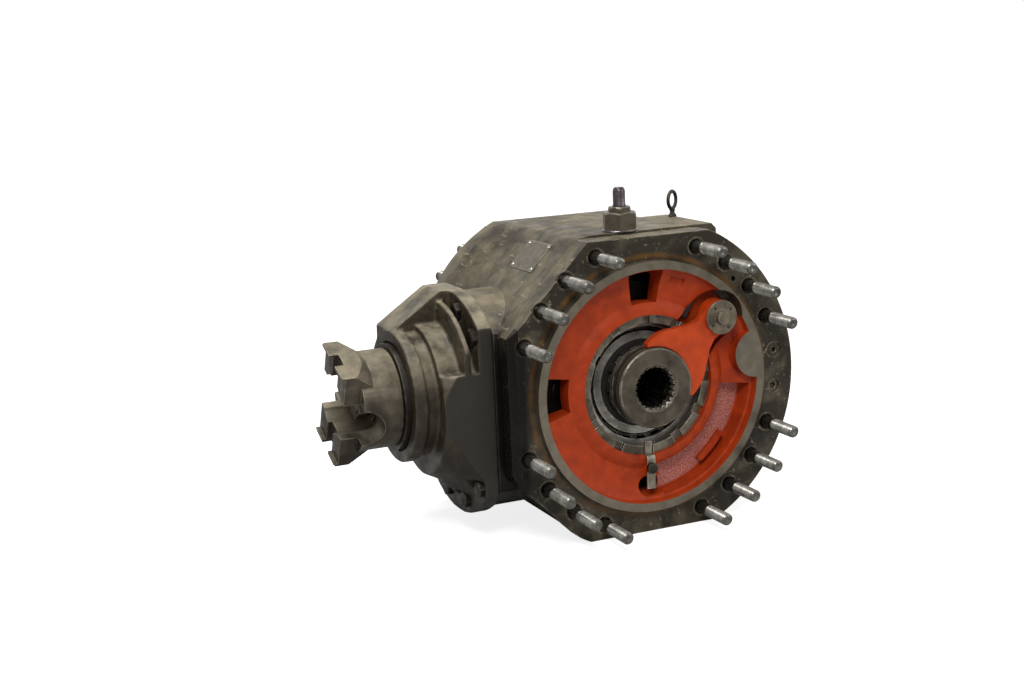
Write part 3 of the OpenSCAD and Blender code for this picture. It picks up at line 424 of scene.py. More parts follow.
@dataclass
class Surface:
    """What a material shows, while its layers are laid on each other."""

    g: Graph
    effects: Effects
    place: Socket
    color: Socket
    rough: Socket
    height: Socket
    metal: "float | Socket"
    gloss: "float | Socket"

    def lay(self, mask: object, share: float, color: "str | Socket") -> None:
        """Lay a colour on where a mask shows.

        Args:
            mask: Mask of the places.
            share: How much of the colour covers the layers below.
            color: Hex colour, or the output of a node.
        """
        top = rgb(color) if isinstance(color, str) else color
        self.color = self.g.mix(self.g.times(mask, share), self.color, top)

    def below(self, axis: str, edge: float, soft: float = HARD_EDGE) -> Socket:
        """Return the mask of places whose coordinate lies under an edge."""
        value = self.g.add("SeparateXYZ", {0: self.place}).outputs[axis]
        return self.g.group(self.effects.beyond, value=value, edge=edge, soft=soft).outputs[0]

    def above(self, axis: str, edge: float) -> Socket:
        """Return the mask of places whose coordinate lies over an edge."""
        return self.g.math("SUBTRACT", 1.0, self.below(axis, edge))

    def ring(self, inner: float, outer: float, soft: float = HARD_EDGE) -> Socket:
        """Return the mask of a ring about the axle."""
        values = {"vector": self.place, "inner": inner, "outer": outer, "soft": soft}
        return self.g.group(self.effects.band, **values).outputs[0]

    def dress(self, zone: Zone) -> None:
        """Lay on what marks the places of one kind of casting."""
        layers = {Zone.RIM: self._rim, Zone.FLANGE: self._flange, Zone.CHORD: self._chord,
                  Zone.YOKE_SHADE: self._yoke_underside_shade}
        layers[zone]()

    def _rim(self) -> None:
        """Bare the rim and the lobe of a carrier, and speckle its pocket floor with a painted highlight."""
        g = self.g
        bare = g.math("MAXIMUM", self.ring(RIM_INNER, 1.0), self._lobe())
        self.lay(bare, 1.0, g.mix(g.noise(self.place, 60.0, 6.0, 0.4), rgb("8a8272"), rgb("5b5347")))
        # Painted highlight: the rough speckled pocket floor is laid pale pink, as where light shines on red
        # paint
        speck = g.span(g.noise(self.place, 420.0, 2.0), 0.42, 0.6)
        self.lay(self._pocket_highlight(), 0.8, g.mix(speck, rgb("9c5a4e"), rgb("bd8a82")))
        self.rough = g.span(bare, 0.0, 1.0, 0.46, 0.36)
        self.metal = g.times(bare, 0.85)

    def _pocket_highlight(self) -> Socket:
        """Return the mask of the near carrier's deep pocket floor, which is rough and speckled and made pale
        by a painted highlight.
        """
        top, floor = (self.below("Y", edge) for edge in POCKET_DEPTH)
        deep = self.g.math("SUBTRACT", floor, top)
        ring = self.ring(POCKET_RING[0], POCKET_RING[1], 0.004)
        return self.g.times(ring, deep, self.above("X", POCKET_LEFT_X), self.below("Z", POCKET_TOP_Z))

    def _lobe(self) -> Socket:
        """Return the mask of the bare lobe inside the near rim."""
        moved = self.g.add("Mapping", {"Vector": self.place, "Location": (-LOBE[0], 0.0, -LOBE[1])})
        values = {"vector": moved.outputs[0], "inner": -1.0, "outer": LOBE_RADIUS}
        disc = self.g.group(self.effects.band, **values).outputs[0]
        return self.g.times(disc, self.below("Y", RIM_FACE_Y))

    def _chord(self) -> None:
        """Paint shade on the lower part of the cage and make its chord face flat and black."""
        # Painted shade: the cage darkens towards its bottom
        self.lay(self.below("Z", 0.03, 0.16), 0.6, "1d1812")
        chord = self.below("Y", CAGE_FLAT_Y)
        self.lay(chord, 0.92, "2b2822")
        self.height = self.g.times(self.height, self.g.span(chord, 0.0, 1.0, 1.0, 0.15))

    def _yoke_underside_shade(self) -> None:
        """Paint shade on the yoke's underside."""
        # Painted shade: darker towards the bottom of the yoke
        self.lay(self.below("Z", 0.0, 0.11), 0.6, "201b14")

    def _flange(self) -> None:
        """Stain the housing: brown oil round the rim, black bevel, painted shade on the lower left side,
        tarry roof.
        """
        g = self.g
        broken = g.span(g.noise(self.place, 17.0, 5.0), 0.36, 0.55)
        oil = g.times(self.ring(RIM_OUTER, OIL_OUTER, 0.006), self.below("Y", FACE_Y), broken)
        self.lay(oil, 0.8, "6d4a20")
        bevel = g.times(self.below("X", BEVEL_X), self.below("Y", BEVEL_Y))
        # Painted shade: the lower left side, between the cage and the flange, is laid black
        side = g.times(self.below("X", SHADED_SIDE_X, 0.012), self.below("Z", SHADED_SIDE_TOP_Z, 0.05))
        black = g.math("MAXIMUM", bevel, side)
        # black holds both the black bevel and the painted shade of the lower left side
        self.lay(black, 0.9, "0e0d0c")
        patch = g.span(g.noise(self.place, 14.0, 8.0, 0.8), 0.4, 0.54)
        self.lay(g.times(self.above("Z", ROOF_Z), self.below("X", TARRY_X, 0.08), patch), 0.8, "2f281e")
        self.rough = g.math("SUBTRACT", self.rough, g.times(g.math("MAXIMUM", black, oil), 0.22))
        self.gloss = g.span(black, 0.0, 1.0, self.gloss, 0.12)


@dataclass(frozen=True)
class Finish:
    """A surface finish: what it is made of and how it has aged. Colours are hex, as seen on screen."""

    name: str
    slot: str
    base: str
    shade: str
    worn: str
    rough: tuple[float, float] = (0.35, 0.6)
    metallic: float = 0.0
    grain: float = 300.0
    bump: float = 0.4
    grime: float = 0.5
    dirt: str = "1b1712"
    dust: str = ""
    edge: float = 0.8
    turned: "Axis | None" = None
    scuffs: str = ""
    gloss: float = 0.5
    zone: "Zone | None" = None

    def build(self, effects: Effects) -> bpy.types.Material:
        """Make the material.

        Args:
            effects: Shared node groups.

        Returns:
            The new material.
        """
        material = bpy.data.materials.new(self.name)
        material.use_nodes = True
        g = Graph(material.node_tree)
        look = self._cast(g, effects)
        self._age(look)
        if self.zone:
            look.dress(self.zone)
        shader = material.node_tree.nodes["Principled BSDF"]
        g.set(shader, "Base Color", look.color)
        g.set(shader, "Roughness", look.rough)
        g.set(shader, "Metallic", look.metal)
        g.set(shader, "Specular IOR Level", look.gloss)
        bump = g.add("Bump", {"Height": look.height, "Distance": 0.0006, "Strength": 0.6})
        g.set(shader, "Normal", bump.outputs[0])
        return material

    def _cast(self, g: Graph, effects: Effects) -> Surface:
        """Make the clean surface, cast or turned.

        Args:
            g: Graph of the material.
            effects: Shared node groups.

        Returns:
            The surface that the layers go on.
        """
        place = g.place()
        grain = g.group(effects.grain, vector=place, scale=self.grain).outputs
        color = g.mix(grain["Tone"], rgb(self.base), rgb(self.shade))
        rough = g.span(grain["Tone"], 0.0, 1.0, self.rough[0], self.rough[1])
        height = g.times(grain["Height"], self.bump)
        look = Surface(g, effects, place, color, rough, height, self.metallic, self.gloss)
        if self.turned:
            turned = g.group(effects.turned, vector=self._about(g, place), pitch=900.0).outputs
            look.lay(turned["Tone"], 0.35, self.shade)
            look.height = g.math("ADD", look.height, g.times(turned["Height"], 0.3))
        return look

    def _age(self, look: Surface) -> None:
        """Lay on grime, dust, scuffs and worn edges.

        Args:
            look: Surface that the layers go on.
        """
        g, effects, place = look.g, look.effects, look.place
        if self.grime:
            grime = g.group(effects.grime, vector=place, scale=11.0, cover=self.grime).outputs[0]
            look.lay(grime, 0.8, self.dirt)
        if self.dust:
            dust = g.group(effects.dust, vector=place, scale=26.0).outputs[0]
            look.lay(dust, 0.85, self.dust)
            look.rough = g.math("ADD", look.rough, g.times(dust, 0.3))
        if self.scuffs:
            look.lay(g.group(effects.scratch, vector=place, scale=26.0).outputs[0], 0.6, self.scuffs)
        if self.edge:
            worn = g.group(effects.wear, vector=place, radius=0.0025, spread=70.0).outputs[0]
            look.lay(worn, self.edge, self.worn)

    def _about(self, g: Graph, place: Socket) -> Socket:
        """Return the place turned so that the machining axis is z."""
        if self.turned is Axis.AXLE:
            return g.add("Mapping", {"Vector": place, "Rotation": (math.pi / 2, 0.0, 0.0)}).outputs[0]
        moved = g.add("Mapping", {"Vector": place, "Location": (0.0, -MID_Y, 0.0)}).outputs[0]
        return g.add("Mapping", {"Vector": moved, "Rotation": (0.0, math.pi / 2, 0.0)}).outputs[0]


FINISHES = {finish.name: finish for finish in (
    Finish("housing_paint", "cast_housing", "575040", "3b3529", "9f947c", rough=(0.3, 0.55), grain=210.0,
           bump=0.6, grime=0.75, dirt="1b1711", dust="7f755f", scuffs="a39980", gloss=0.25, zone=Zone.FLANGE),
    Finish("plate_paint", "worn_steel", "5c5548", "4a4438", "a8a294", rough=(0.4, 0.55), grain=500.0,
           bump=0.08, grime=0.15, edge=0.9, gloss=0.4),
    Finish("cage_cast", "cast_cage", "544c3b", "372f22", "b3a78a", rough=(0.28, 0.55), grain=150.0, bump=0.9,
           grime=0.65, dirt="211b13", dust="a0967e", edge=0.85, gloss=0.25, zone=Zone.CHORD),
    Finish("red_paint", "red_paint", "ab3a10", "92300e", "6a2415", rough=(0.42, 0.55), grain=260.0, bump=0.3,
           grime=0.1, dirt="74200d", edge=0.2, gloss=0.2, zone=Zone.RIM),
    Finish("fork_paint", "red_paint", "c24414", "ab3a11", "7a2a16", rough=(0.38, 0.5), bump=0.2, grime=0.05,
           dirt="7a230f", edge=0.15, gloss=0.25),
    Finish("bright_steel", "bright_steel", "a9a6a0", "87837b", "dcdad4", rough=(0.22, 0.36), metallic=1.0,
           grain=500.0, bump=0.12, grime=0.25, dirt="4c453a", edge=0.5),
    Finish("worn_steel", "worn_steel", "686052", "4b4439", "b5afa2", rough=(0.32, 0.5), metallic=0.85,
           grain=420.0, bump=0.25, grime=0.4, dirt="2e2619", edge=0.7, turned=Axis.AXLE),
    Finish("sleeve_steel", "worn_steel", "625a4b", "443d32", "d2ccbf", rough=(0.25, 0.42), metallic=0.5,
           grain=420.0, bump=0.3, grime=0.45, dirt="261f15", edge=0.9, turned=Axis.AXLE),
    Finish("gear_steel", "gear_steel", "7b766b", "565147", "c4beb2", rough=(0.2, 0.36), metallic=1.0,
           grain=400.0, bump=0.2, grime=0.35, dirt="2a231a"),
    Finish("dark_steel", "dark_steel", "3a342d", "27221d", "8a8478", rough=(0.35, 0.55), metallic=0.8,
           grain=380.0, bump=0.25, grime=0.3, edge=0.6),
    Finish("fitting_steel", "dark_steel", "6b6254", "4b4439", "b8b1a2", rough=(0.3, 0.5), metallic=0.75,
           grain=380.0, bump=0.2, grime=0.35, dirt="2c251c"),
    Finish("tab_steel", "worn_steel", "8d8677", "6d6658", "d2ccbd", rough=(0.28, 0.42), metallic=0.8,
           grain=420.0, bump=0.2, grime=0.3, dirt="3b3327", edge=0.9),
    Finish("purple_steel", "dark_steel", "5b5358", "3d3739", "b4aeb4", rough=(0.25, 0.4), metallic=0.9,
           grain=380.0, bump=0.2, grime=0.35, dirt="2a2320"),
    Finish("ring_steel", "bright_steel", "b4b1aa", "8c887f", "e4e2dc", rough=(0.18, 0.3), metallic=0.55,
           grain=500.0, bump=0.08, grime=0.25, dirt="4c453a", edge=0.5, turned=Axis.AXLE),
    Finish("nut_steel", "worn_steel", "7f7869", "5d5648", "cdc7b9", rough=(0.3, 0.45), metallic=0.5,
           grain=420.0, bump=0.25, grime=0.45, dirt="2e2619", edge=0.9, turned=Axis.AXLE),
    Finish("cap_steel", "worn_steel", "7b715f", "5c5344", "b3ab9b", rough=(0.4, 0.58), metallic=0.55,
           grain=420.0, bump=0.3, grime=0.45, dirt="332b20", edge=0.6),
    Finish("dark_iron", "dark_iron", "2e2a24", "1f1c18", "6a6459", rough=(0.5, 0.7), metallic=0.5,
           grain=240.0, bump=0.5, grime=0.4, edge=0.3),
    Finish("yoke_steel", "yoke_steel", "5e5647", "40392d", "b0a68f", rough=(0.34, 0.52), metallic=0.45,
           bump=0.35, dirt="251f16", dust="8a8069", edge=0.75, turned=Axis.PINION, zone=Zone.YOKE_SHADE),
    Finish("bronze", "bronze", "b58b4a", "8f6a34", "e0bd80", rough=(0.25, 0.4), metallic=1.0, grain=400.0,
           bump=0.1, grime=0.2, edge=0.4),
    Finish("seal_rubber", "seal_rubber", "1c1b1a", "121211", "3a3836", rough=(0.5, 0.7), grain=500.0,
           bump=0.2, grime=0.0, edge=0.2),
    Finish("stud_zinc", "bright_steel", "77756f", "55524c", "b4b1aa", rough=(0.22, 0.36), metallic=0.95,
           grain=450.0, bump=0.2, grime=0.15, dirt="3f382e", edge=0.35),
)}


class Workshop:
    """Builds finishes and meshes, and puts pieces on their bodies."""

    def __init__(self) -> None:
        """Build the shared effects and every material."""
        self.effects = Effects()
        self.materials = {key: finish.build(self.effects) for key, finish in FINISHES.items()}
        self.scene = bpy.context.scene

    def dress_node(self, node: str, finish: str) -> None:
        """Assign a finish to a CAD node's own slots."""
        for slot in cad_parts[node].material_slots:
            slot.material = self.materials[finish]
        LOG.info("dressed %s with %s", node, finish)

    def place(self, piece: bpy.types.Object, finish: str, nodes: Sequence[str] = (),
              body: str = HOUSING) -> None:
        """Put a finished piece on its body.

        Args:
            piece: Object whose mesh is done.
            finish: Key of its finish.
            nodes: CAD nodes that it stands for.
            body: Body that it rides.
        """
        piece.data.materials.clear()
        piece.data.materials.append(self.materials[finish])
        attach(piece, body)
        if nodes:
            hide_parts(*nodes)
        LOG.info("placed %s on %s", piece.name, body)

    def new(self, name: str, bm: Mesh, smooth: float = 35.0) -> bpy.types.Object:
        """Turn mesh code into a linked object.

        Args:
            name: Name of the piece.
            bm: Mesh to keep; it is freed.
            smooth: Angle in degrees under which faces blend.

        Returns:
            The new object.
        """
        mesh = bpy.data.meshes.new(name)
        bm.to_mesh(mesh)
        bm.free()
        mesh.polygons.foreach_set("use_smooth", [True] * len(mesh.polygons))
        mesh.set_sharp_from_angle(angle=math.radians(smooth))
        piece = bpy.data.objects.new(name, mesh)
        self.scene.collection.objects.link(piece)
        return piece

    def solid(self, name: str, bm: Mesh, finish: str, nodes: Sequence[str] = (), smooth: float = 35.0,
              body: str = HOUSING) -> None:
        """Put a piece made in mesh code on its body, with its faces outward.

        Args:
            name: Name of the piece.
            bm: Its mesh; it is freed.
            finish: Key of its finish.
            nodes: CAD nodes that it stands for.
            smooth: Angle in degrees under which faces blend.
            body: Body that it rides.
        """
        bmesh.ops.recalc_face_normals(bm, faces=bm.faces)
        self.place(self.new(name, bm, smooth), finish, nodes, body)

    def copy_of(self, node: str) -> Mesh:
        """Return a CAD node's mesh, welded and with its flat faces joined.

        Args:
            node: CAD node to copy.

        Returns:
            The new mesh.
        """
        bm = bmesh.new()
        bm.from_mesh(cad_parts[node].data)
        bmesh.ops.remove_doubles(bm, verts=bm.verts, dist=2e-6)
        bmesh.ops.dissolve_limit(bm, angle_limit=math.radians(0.5), verts=bm.verts, edges=bm.edges)
        return bm

    def rounded(self, node: str, name: str, width: float, segments: int = 2) -> bpy.types.Object:
        """Make a piece like a CAD node with its sharp edges broken.

        Args:
            node: CAD node to follow.
            name: Name of the new piece.
            width: Width of the rounding in metres.
            segments: Faces across each rounding.

        Returns:
            The new object.
        """
        piece = self.new(name, self.copy_of(node), 40.0)
        bevel = piece.modifiers.new("rounding", "BEVEL")
        bevel.width = width
        bevel.segments = segments
        bevel.limit_method = "ANGLE"
        bevel.angle_limit = math.radians(32)
        bevel.harden_normals = True
        return piece

    def follow(self, node: str, name: str, width: float, finish: str, segments: int = 2,
               body: str = HOUSING) -> None:
        """Put a rounded piece on its body in place of the CAD node that it follows."""
        self.place(self.rounded(node, name, width, segments), finish, [node], body)

    def baked(self, piece: bpy.types.Object) -> None:
        """Apply a piece's modifiers to its mesh."""
        graph = bpy.context.evaluated_depsgraph_get()
        mesh = bpy.data.meshes.new_from_object(piece.evaluated_get(graph))
        piece.modifiers.clear()
        piece.data = mesh


def round_points(radius: float, height: float, steps: int) -> Iterator[Vector]:
    """Yield points round local z at one radius and height."""
    for i in range(steps):
        angle = 2 * math.pi * i / steps
        yield Vector((radius * math.cos(angle), radius * math.sin(angle), height))


def join(bm: Mesh, rows: Sequence[Row], ends: bool = False) -> list[bmesh.types.BMFace]:
    """Join rings of vertices with bands of faces.

    Args:
        bm: Mesh that receives the faces.
        rows: Rings with the same number of vertices, in order.
        ends: Whether the first and the last ring are closed too.

    Returns:
        The new faces.
    """
    faces = []
    for low, high in zip(rows, rows[1:]):
        for i in range(len(low)):
            j = (i + 1) % len(low)
            faces.append(bm.faces.new([low[i], low[j], high[j], high[i]]))
    if ends:
        faces.append(bm.faces.new(list(reversed(rows[0]))))
        faces.append(bm.faces.new(rows[-1]))
    return faces


def lathe(bm: Mesh, profile: Profile, steps: int, turn: Matrix) -> None:
    """Add a turned solid about local z.

    Args:
        bm: Mesh that receives the faces.
        profile: Radius and height pairs, from the lower axis point to the upper one.
        steps: Faces round the axis.
        turn: Matrix that puts the solid in place.
    """
    rings: list[Row] = []
    for radius, height in profile:
        count = 1 if radius < 1e-6 else steps
        rings.append([bm.verts.new(turn @ point) for point in round_points(radius, height, count)])
    for low, high in zip(rings, rings[1:]):
        for i in range(steps):
            j = (i + 1) % steps
            corners = [low[i % len(low)], low[j % len(low)], high[j % len(high)], high[i % len(high)]]
            corners = list(dict.fromkeys(corners))
            if len(corners) > 2:
                bm.faces.new(corners)


@dataclass(frozen=True)
class Thread:
    """A rod with a real helical thread, along local z from the root at 0 to its tip."""

    radius: float
    length: float
    threaded: float = 0.052
    pitch: float = 0.0016
    depth: float = 0.0007
    steps: int = 18
    chamfer: float = 0.0022
    center: float = 0.0028
    center_tip: float = 0.0006
    center_depth: float = 0.0016

    def add(self, bm: Mesh, turn: Matrix) -> None:
        """Add the rod to a mesh, with the centre hole in its tip.

        Args:
            bm: Mesh that receives the faces.
            turn: Matrix that puts the rod in place.
        """
        start = self.length - self.threaded
        rows = [self._ring(bm, turn, 0.0, self.radius), self._ring(bm, turn, start - self.pitch, self.radius)]
        for k in range(int(self.threaded / self.pitch * 2)):
            radius = self.radius - (self.depth if k % 2 else 0.0)
            row = []
            for i in range(self.steps):
                height = min(start + (k / 2 + i / self.steps) * self.pitch, self.length)
                row.append(self._point(bm, turn, i, height, min(radius, self._limit(height))))
            rows.append(row)
        rows.append(self._ring(bm, turn, self.length, self.radius - self.chamfer))
        rows.append(self._ring(bm, turn, self.length, self.center))
        rows.append(self._ring(bm, turn, self.length - self.center_depth, self.center_tip))
        join(bm, rows, ends=True)

    def _limit(self, height: float) -> float:
        """Return the largest radius the end chamfer allows at a height."""
        return self.radius - max(0.0, self.chamfer - (self.length - height))

    def _point(self, bm: Mesh, turn: Matrix, i: int, height: float, radius: float) -> bmesh.types.BMVert:
        """Add one vertex at step i."""
        angle = 2 * math.pi * i / self.steps
        return bm.verts.new(turn @ Vector((radius * math.cos(angle), radius * math.sin(angle), height)))

    def _ring(self, bm: Mesh, turn: Matrix, height: float, radius: float) -> Row:
        """Add one flat ring of vertices."""
        return [self._point(bm, turn, i, height, radius) for i in range(self.steps)]


def add_hex(bm: Mesh, flats: float, height: float, seat: float, chamfer: float, turn: Matrix) -> None:
    """Add a hexagon with a rounded-off top, about local z.

    Args:
        bm: Mesh that receives the faces.
        flats: Width across flats in metres.
        height: Height in metres.
        seat: Local z of its foot.
        chamfer: Share of the corner that the turned chamfer removes.
        turn: Matrix that puts it in place.
    """
    place = turn @ Matrix.Translation((0, 0, seat))
    sixth = math.pi / 3
    half = flats / 2
    corner = half / math.cos(sixth / 2)
    steps = 36
    cone = half * 0.97
    tops, sides, feet = [], [], []
    for i in range(steps):
        angle = 2 * math.pi * i / steps
        part = (angle + sixth / 2) % sixth - sixth / 2
        radius = half / math.cos(part)
        drop = (radius - cone) / (corner - cone) * height * chamfer * 2
        unit = Vector((math.cos(angle + sixth / 2), math.sin(angle + sixth / 2), 0))
        feet.append(bm.verts.new(place @ (unit * radius)))
        sides.append(bm.verts.new(place @ (unit * radius + Vector((0, 0, height - drop)))))
        tops.append(bm.verts.new(place @ (unit * cone + Vector((0, 0, height)))))
    join(bm, (feet, sides, tops), ends=True)


def aim(place: Vector, direction: Vector) -> Matrix:
    """Return a matrix that puts local z along a direction at a place."""
    return Matrix.Translation(place) @ direction.to_track_quat("Z", "Y").to_matrix().to_4x4()


def stud_places(y: float) -> Iterator[Vector]:
    """Yield the middles of a flange's sixteen studs at one depth."""
    for quarter in range(4):
        for step in STUD_STEPS:
            angle = math.radians(90 * quarter + step)
            yield Vector((STUD_CIRCLE * math.cos(angle), y, STUD_CIRCLE * math.sin(angle)))


@dataclass
class HousingCasting:
    """Axle housing with its painted cast skin."""

    shop: Workshop
    skin_back: float = 0.192
    skin_from: float = 0.0315
    skin_to: float = 0.3112
    skin_rows: int = 32
    sweep_from: float = 0.19
    sweep_to: float = 0.2795
    sweep_power: float = 1.6
    sink: float = 0.0004
    first_turn: float = 66.0
    turn_step: float = 1.5
    turns: int = 70
    ramp_x: tuple[float, float, float] = (-0.0915, -0.0705, -0.069)
    ramp_y: tuple[float, float] = (0.0424, 0.1771)
    ramp_depth: float = 0.006

    def build(self) -> None:
        """Build the housing."""
        self.shop.follow("housing", "housing_casting", LARGE_EDGE, "housing_paint", 3)
        self.shop.solid("housing_skin", self._skin(), "housing_paint", smooth=25.0)
        self.shop.solid("pad_ramp", self._ramp(), "housing_paint", smooth=25.0)

    def _skin(self) -> Mesh:
        """Make the upper skin that sweeps from the slanted near outline up to the round far flange.

        Returns:
            The mesh, closed underneath by an inner arc.
        """
        bm = bmesh.new()
        turns = [math.radians(self.first_turn + self.turn_step * k) for k in range(self.turns)]
        rows: list[Row] = []
        for k in range(self.skin_rows + 1):
            y = self.skin_from + (self.skin_to - self.skin_from) * k / self.skin_rows
            share = (y - self.sweep_from) / (self.sweep_to - self.sweep_from)
            rise = min(1.0, max(0.0, share)) ** self.sweep_power
            line = [(self._radius(a, rise), a) for a in turns]
            line += [(self.skin_back, a) for a in reversed(turns)]
            rows.append([bm.verts.new((r * math.cos(a), y, r * math.sin(a))) for r, a in line])
        join(bm, rows)
        for row in (rows[0], rows[-1]):
            for i in range(len(turns) - 1):
                bm.faces.new([row[i], row[i + 1], row[-2 - i], row[-1 - i]])
        return bm

    def _radius(self, angle: float, rise: float) -> float:
        """Return the skin's radius at an angle, for a share of the rise to the round flange.

        Args:
            angle: Angle about the axle, from +X toward +Z.
            rise: 0 on the slanted outline and 1 on the round one.

        Returns:
            The radius, sunk a little under both outlines.
        """
        roof = FLAT / math.sin(angle)
        slant = UPPER_FLAT / math.cos(angle - math.radians(UPPER_FLAT_ANGLE))
        near = min(FLANGE_RADIUS, roof, slant, FLAT / max(1e-3, -math.cos(angle)))
        far = min(FLANGE_RADIUS, roof) + 2 * self.sink
        return near + (far - near) * rise - self.sink

    def _ramp(self) -> Mesh:
        """Make the run-in that leads from the skin up to the top pad.

        Returns:
            The mesh.
        """
        bm = bmesh.new()
        foot, start, top = FLAT - self.ramp_depth, FLAT - 2 * self.sink, PAD_TOP - self.sink / 2
        left, crest, right = self.ramp_x
        outline = [(left, foot), (left, start), (crest, top), (right, top), (right, foot)]
        join(bm, [[bm.verts.new((x, y, z)) for x, z in outline] for y in self.ramp_y], ends=True)
        return bm


@dataclass
class PinionCage:
    """Rough casting that carries the pinion bearings."""

    RIB: ClassVar[Profile] = ((0.098, 0.2585), (0.1335, 0.2592), (0.1335, 0.2672), (0.098, 0.2695))
    shop: Workshop
    voxel: float = 0.002
    smoothing: int = 3
    ripple: float = 0.0005
    rib_from: float = -74.0
    rib_step: float = 2.45
    rib_rows: int = 31

    def build(self) -> None:
        """Build the casting and its bolts."""
        bm = self.shop.copy_of("pinion_cage")
        self._rib(bm)
        piece = self.shop.new("cage_casting", bm)
        remesh = piece.modifiers.new("skin", "REMESH")
        remesh.mode = "VOXEL"
        remesh.voxel_size = self.voxel
        smooth = piece.modifiers.new("fettling", "SMOOTH")
        smooth.iterations = self.smoothing
        smooth.factor = 0.5
        self.shop.baked(piece)
        self._ripple(piece.data)
        piece.data.polygons.foreach_set("use_smooth", [True] * len(piece.data.polygons))
        self.shop.place(piece, "cage_cast", ["pinion_cage"])
        self.shop.follow("cage_bolts", "cage_bolt_set", SMALL_EDGE, "dark_steel")
        self.shop.dress_node("cage_shim", "dark_iron")

    def _rib(self, bm: Mesh) -> None:
        """Add the arc rib that crosses both upper pockets over the bolts.

        Args:
            bm: Mesh of the cage, which receives the rib.
        """
        rows = []
        for k in range(self.rib_rows):
            a = math.radians(self.rib_from + self.rib_step * k)
            row = []
            for radius, reach in self.RIB:
                kept = min(radius, (MID_Y - CHORD_Y) / abs(math.sin(a))) if a < 0 else radius
                row.append(bm.verts.new((-reach, MID_Y + kept * math.sin(a), kept * math.cos(a))))
            rows.append(row)
        bmesh.ops.recalc_face_normals(bm, faces=join(bm, rows, ends=True))

    def _ripple(self, mesh: bpy.types.Mesh) -> None:
        """Sink the skin unevenly, as sand casting does.

        Args:
            mesh: Mesh of the finished casting.
        """
        skin = [(vertex.co.copy(), vertex.normal.copy()) for vertex in mesh.vertices]
        for vertex, (place, normal) in zip(mesh.vertices, skin):
            wave = noise.noise(place * 55) + 0.5 * noise.noise(place * 160)
            vertex.co = place - normal * (wave * 0.5 + 0.5) * self.ripple


@dataclass
class BearingCarriers:
    """Red carriers of both sides with nuts, cups and the lock tab."""

    OLD_WINDOW: ClassVar[Sequence[float]] = (76.0, 95.0, 112.0, 140.0)
    NEW_WINDOW: ClassVar[Sequence[float]] = (76.0, 81.5, 100.5, 140.0)
    TAB: ClassVar[Profile] = ((0.084, 0.0088), (0.1025, 0.0088), (0.1040, 0.0080), (0.1050, 0.0060),
                              (0.1062, 0.0012), (0.1080, -0.0004), (0.1535, -0.0004))
    HEAD: ClassVar[Profile] = ((0.0, -0.02), (0.0049, -0.02), (0.0049, 0.0), (0.0082, 0.0), (0.0084, 0.0006),
                               (0.0084, 0.0046), (0.0078, 0.0056), (0.0058, 0.0060), (0.0, 0.0060))
    shop: Workshop
    tab_half: float = 0.0066
    tab_neck: float = 0.1045
    tab_neck_share: float = 0.82
    tab_thick: float = 0.0024
    tab_lean: float = 1.5
    head_place: tuple[float, float, float] = (0.0, -0.003, -0.122)

    def build(self) -> None:
        """Build both sides."""
        shop = self.shop
        for side in ("near", "far"):
            carrier = shop.rounded(f"{side}_carrier", f"{side}_carrier_casting", LARGE_EDGE, 3)
            if side == "near":
                self._shift_window(carrier.data)
            shop.place(carrier, "red_paint", [f"{side}_carrier"])
            shop.follow(f"{side}_nut", f"{side}_adjusting_nut", 0.0008, "nut_steel")
            shop.dress_node(f"{side}_cup", "ring_steel")
            shop.dress_node(f"{side}_cone", "ring_steel")
            shop.dress_node(f"{side}_rollers", "dark_steel")
        self._tab()
        shop.follow("stop_bar", "guide_bar", 0.001, "dark_iron")

    def _shift_window(self, mesh: bpy.types.Mesh) -> None:
        """Turn the top window to where the photograph shows it, keeping every circle round.

        Args:
            mesh: Mesh of the near carrier.
        """
        old, new = self.OLD_WINDOW, self.NEW_WINDOW
        for vertex in mesh.vertices:
            radius = math.hypot(vertex.co.x, vertex.co.z)
            angle = math.degrees(math.atan2(vertex.co.z, vertex.co.x)) % 360
            if radius > RIM_INNER or not old[0] < angle < old[3]:
                continue
            k = 0 if angle < old[1] else (1 if angle < old[2] else 2)
            share = (angle - old[k]) / (old[k + 1] - old[k])
            turned = math.radians(new[k] + share * (new[k + 1] - new[k]))
            vertex.co.x = radius * math.cos(turned)
            vertex.co.z = radius * math.sin(turned)

    def _tab(self) -> None:
        """Build the bent strip that locks the nut, and its round bolt."""
        place = Matrix.Rotation(math.radians(self.tab_lean), 4, "Y")
        last = len(self.TAB) - 1
        bm = bmesh.new()
        rows = []
        for k, (reach, y) in enumerate(self.TAB):
            before, after = self.TAB[max(0, k - 1)], self.TAB[min(last, k + 1)]
            along = Vector((after[0] - before[0], after[1] - before[1])).normalized()
            off = Vector((along.y, -along.x)) * self.tab_thick
            wide = self.tab_half * (self.tab_neck_share if reach < self.tab_neck else 1.0)
            corners = ((-wide, reach, y), (wide, reach, y), (wide, reach + off.x, y + off.y),
                       (-wide, reach + off.x, y + off.y))
            rows.append([bm.verts.new(place @ Vector((x, depth, -r))) for x, r, depth in corners])
        join(bm, rows, ends=True)
        self.shop.solid("tab_strip", bm, "tab_steel", ["lock_tab"], 30.0)
        head = bmesh.new()
        lathe(head, self.HEAD, 40, aim(place @ Vector(self.head_place), Vector((0, -1, 0))))
        self.shop.solid("tab_bolt", head, "dark_steel", ["lock_bolt"])


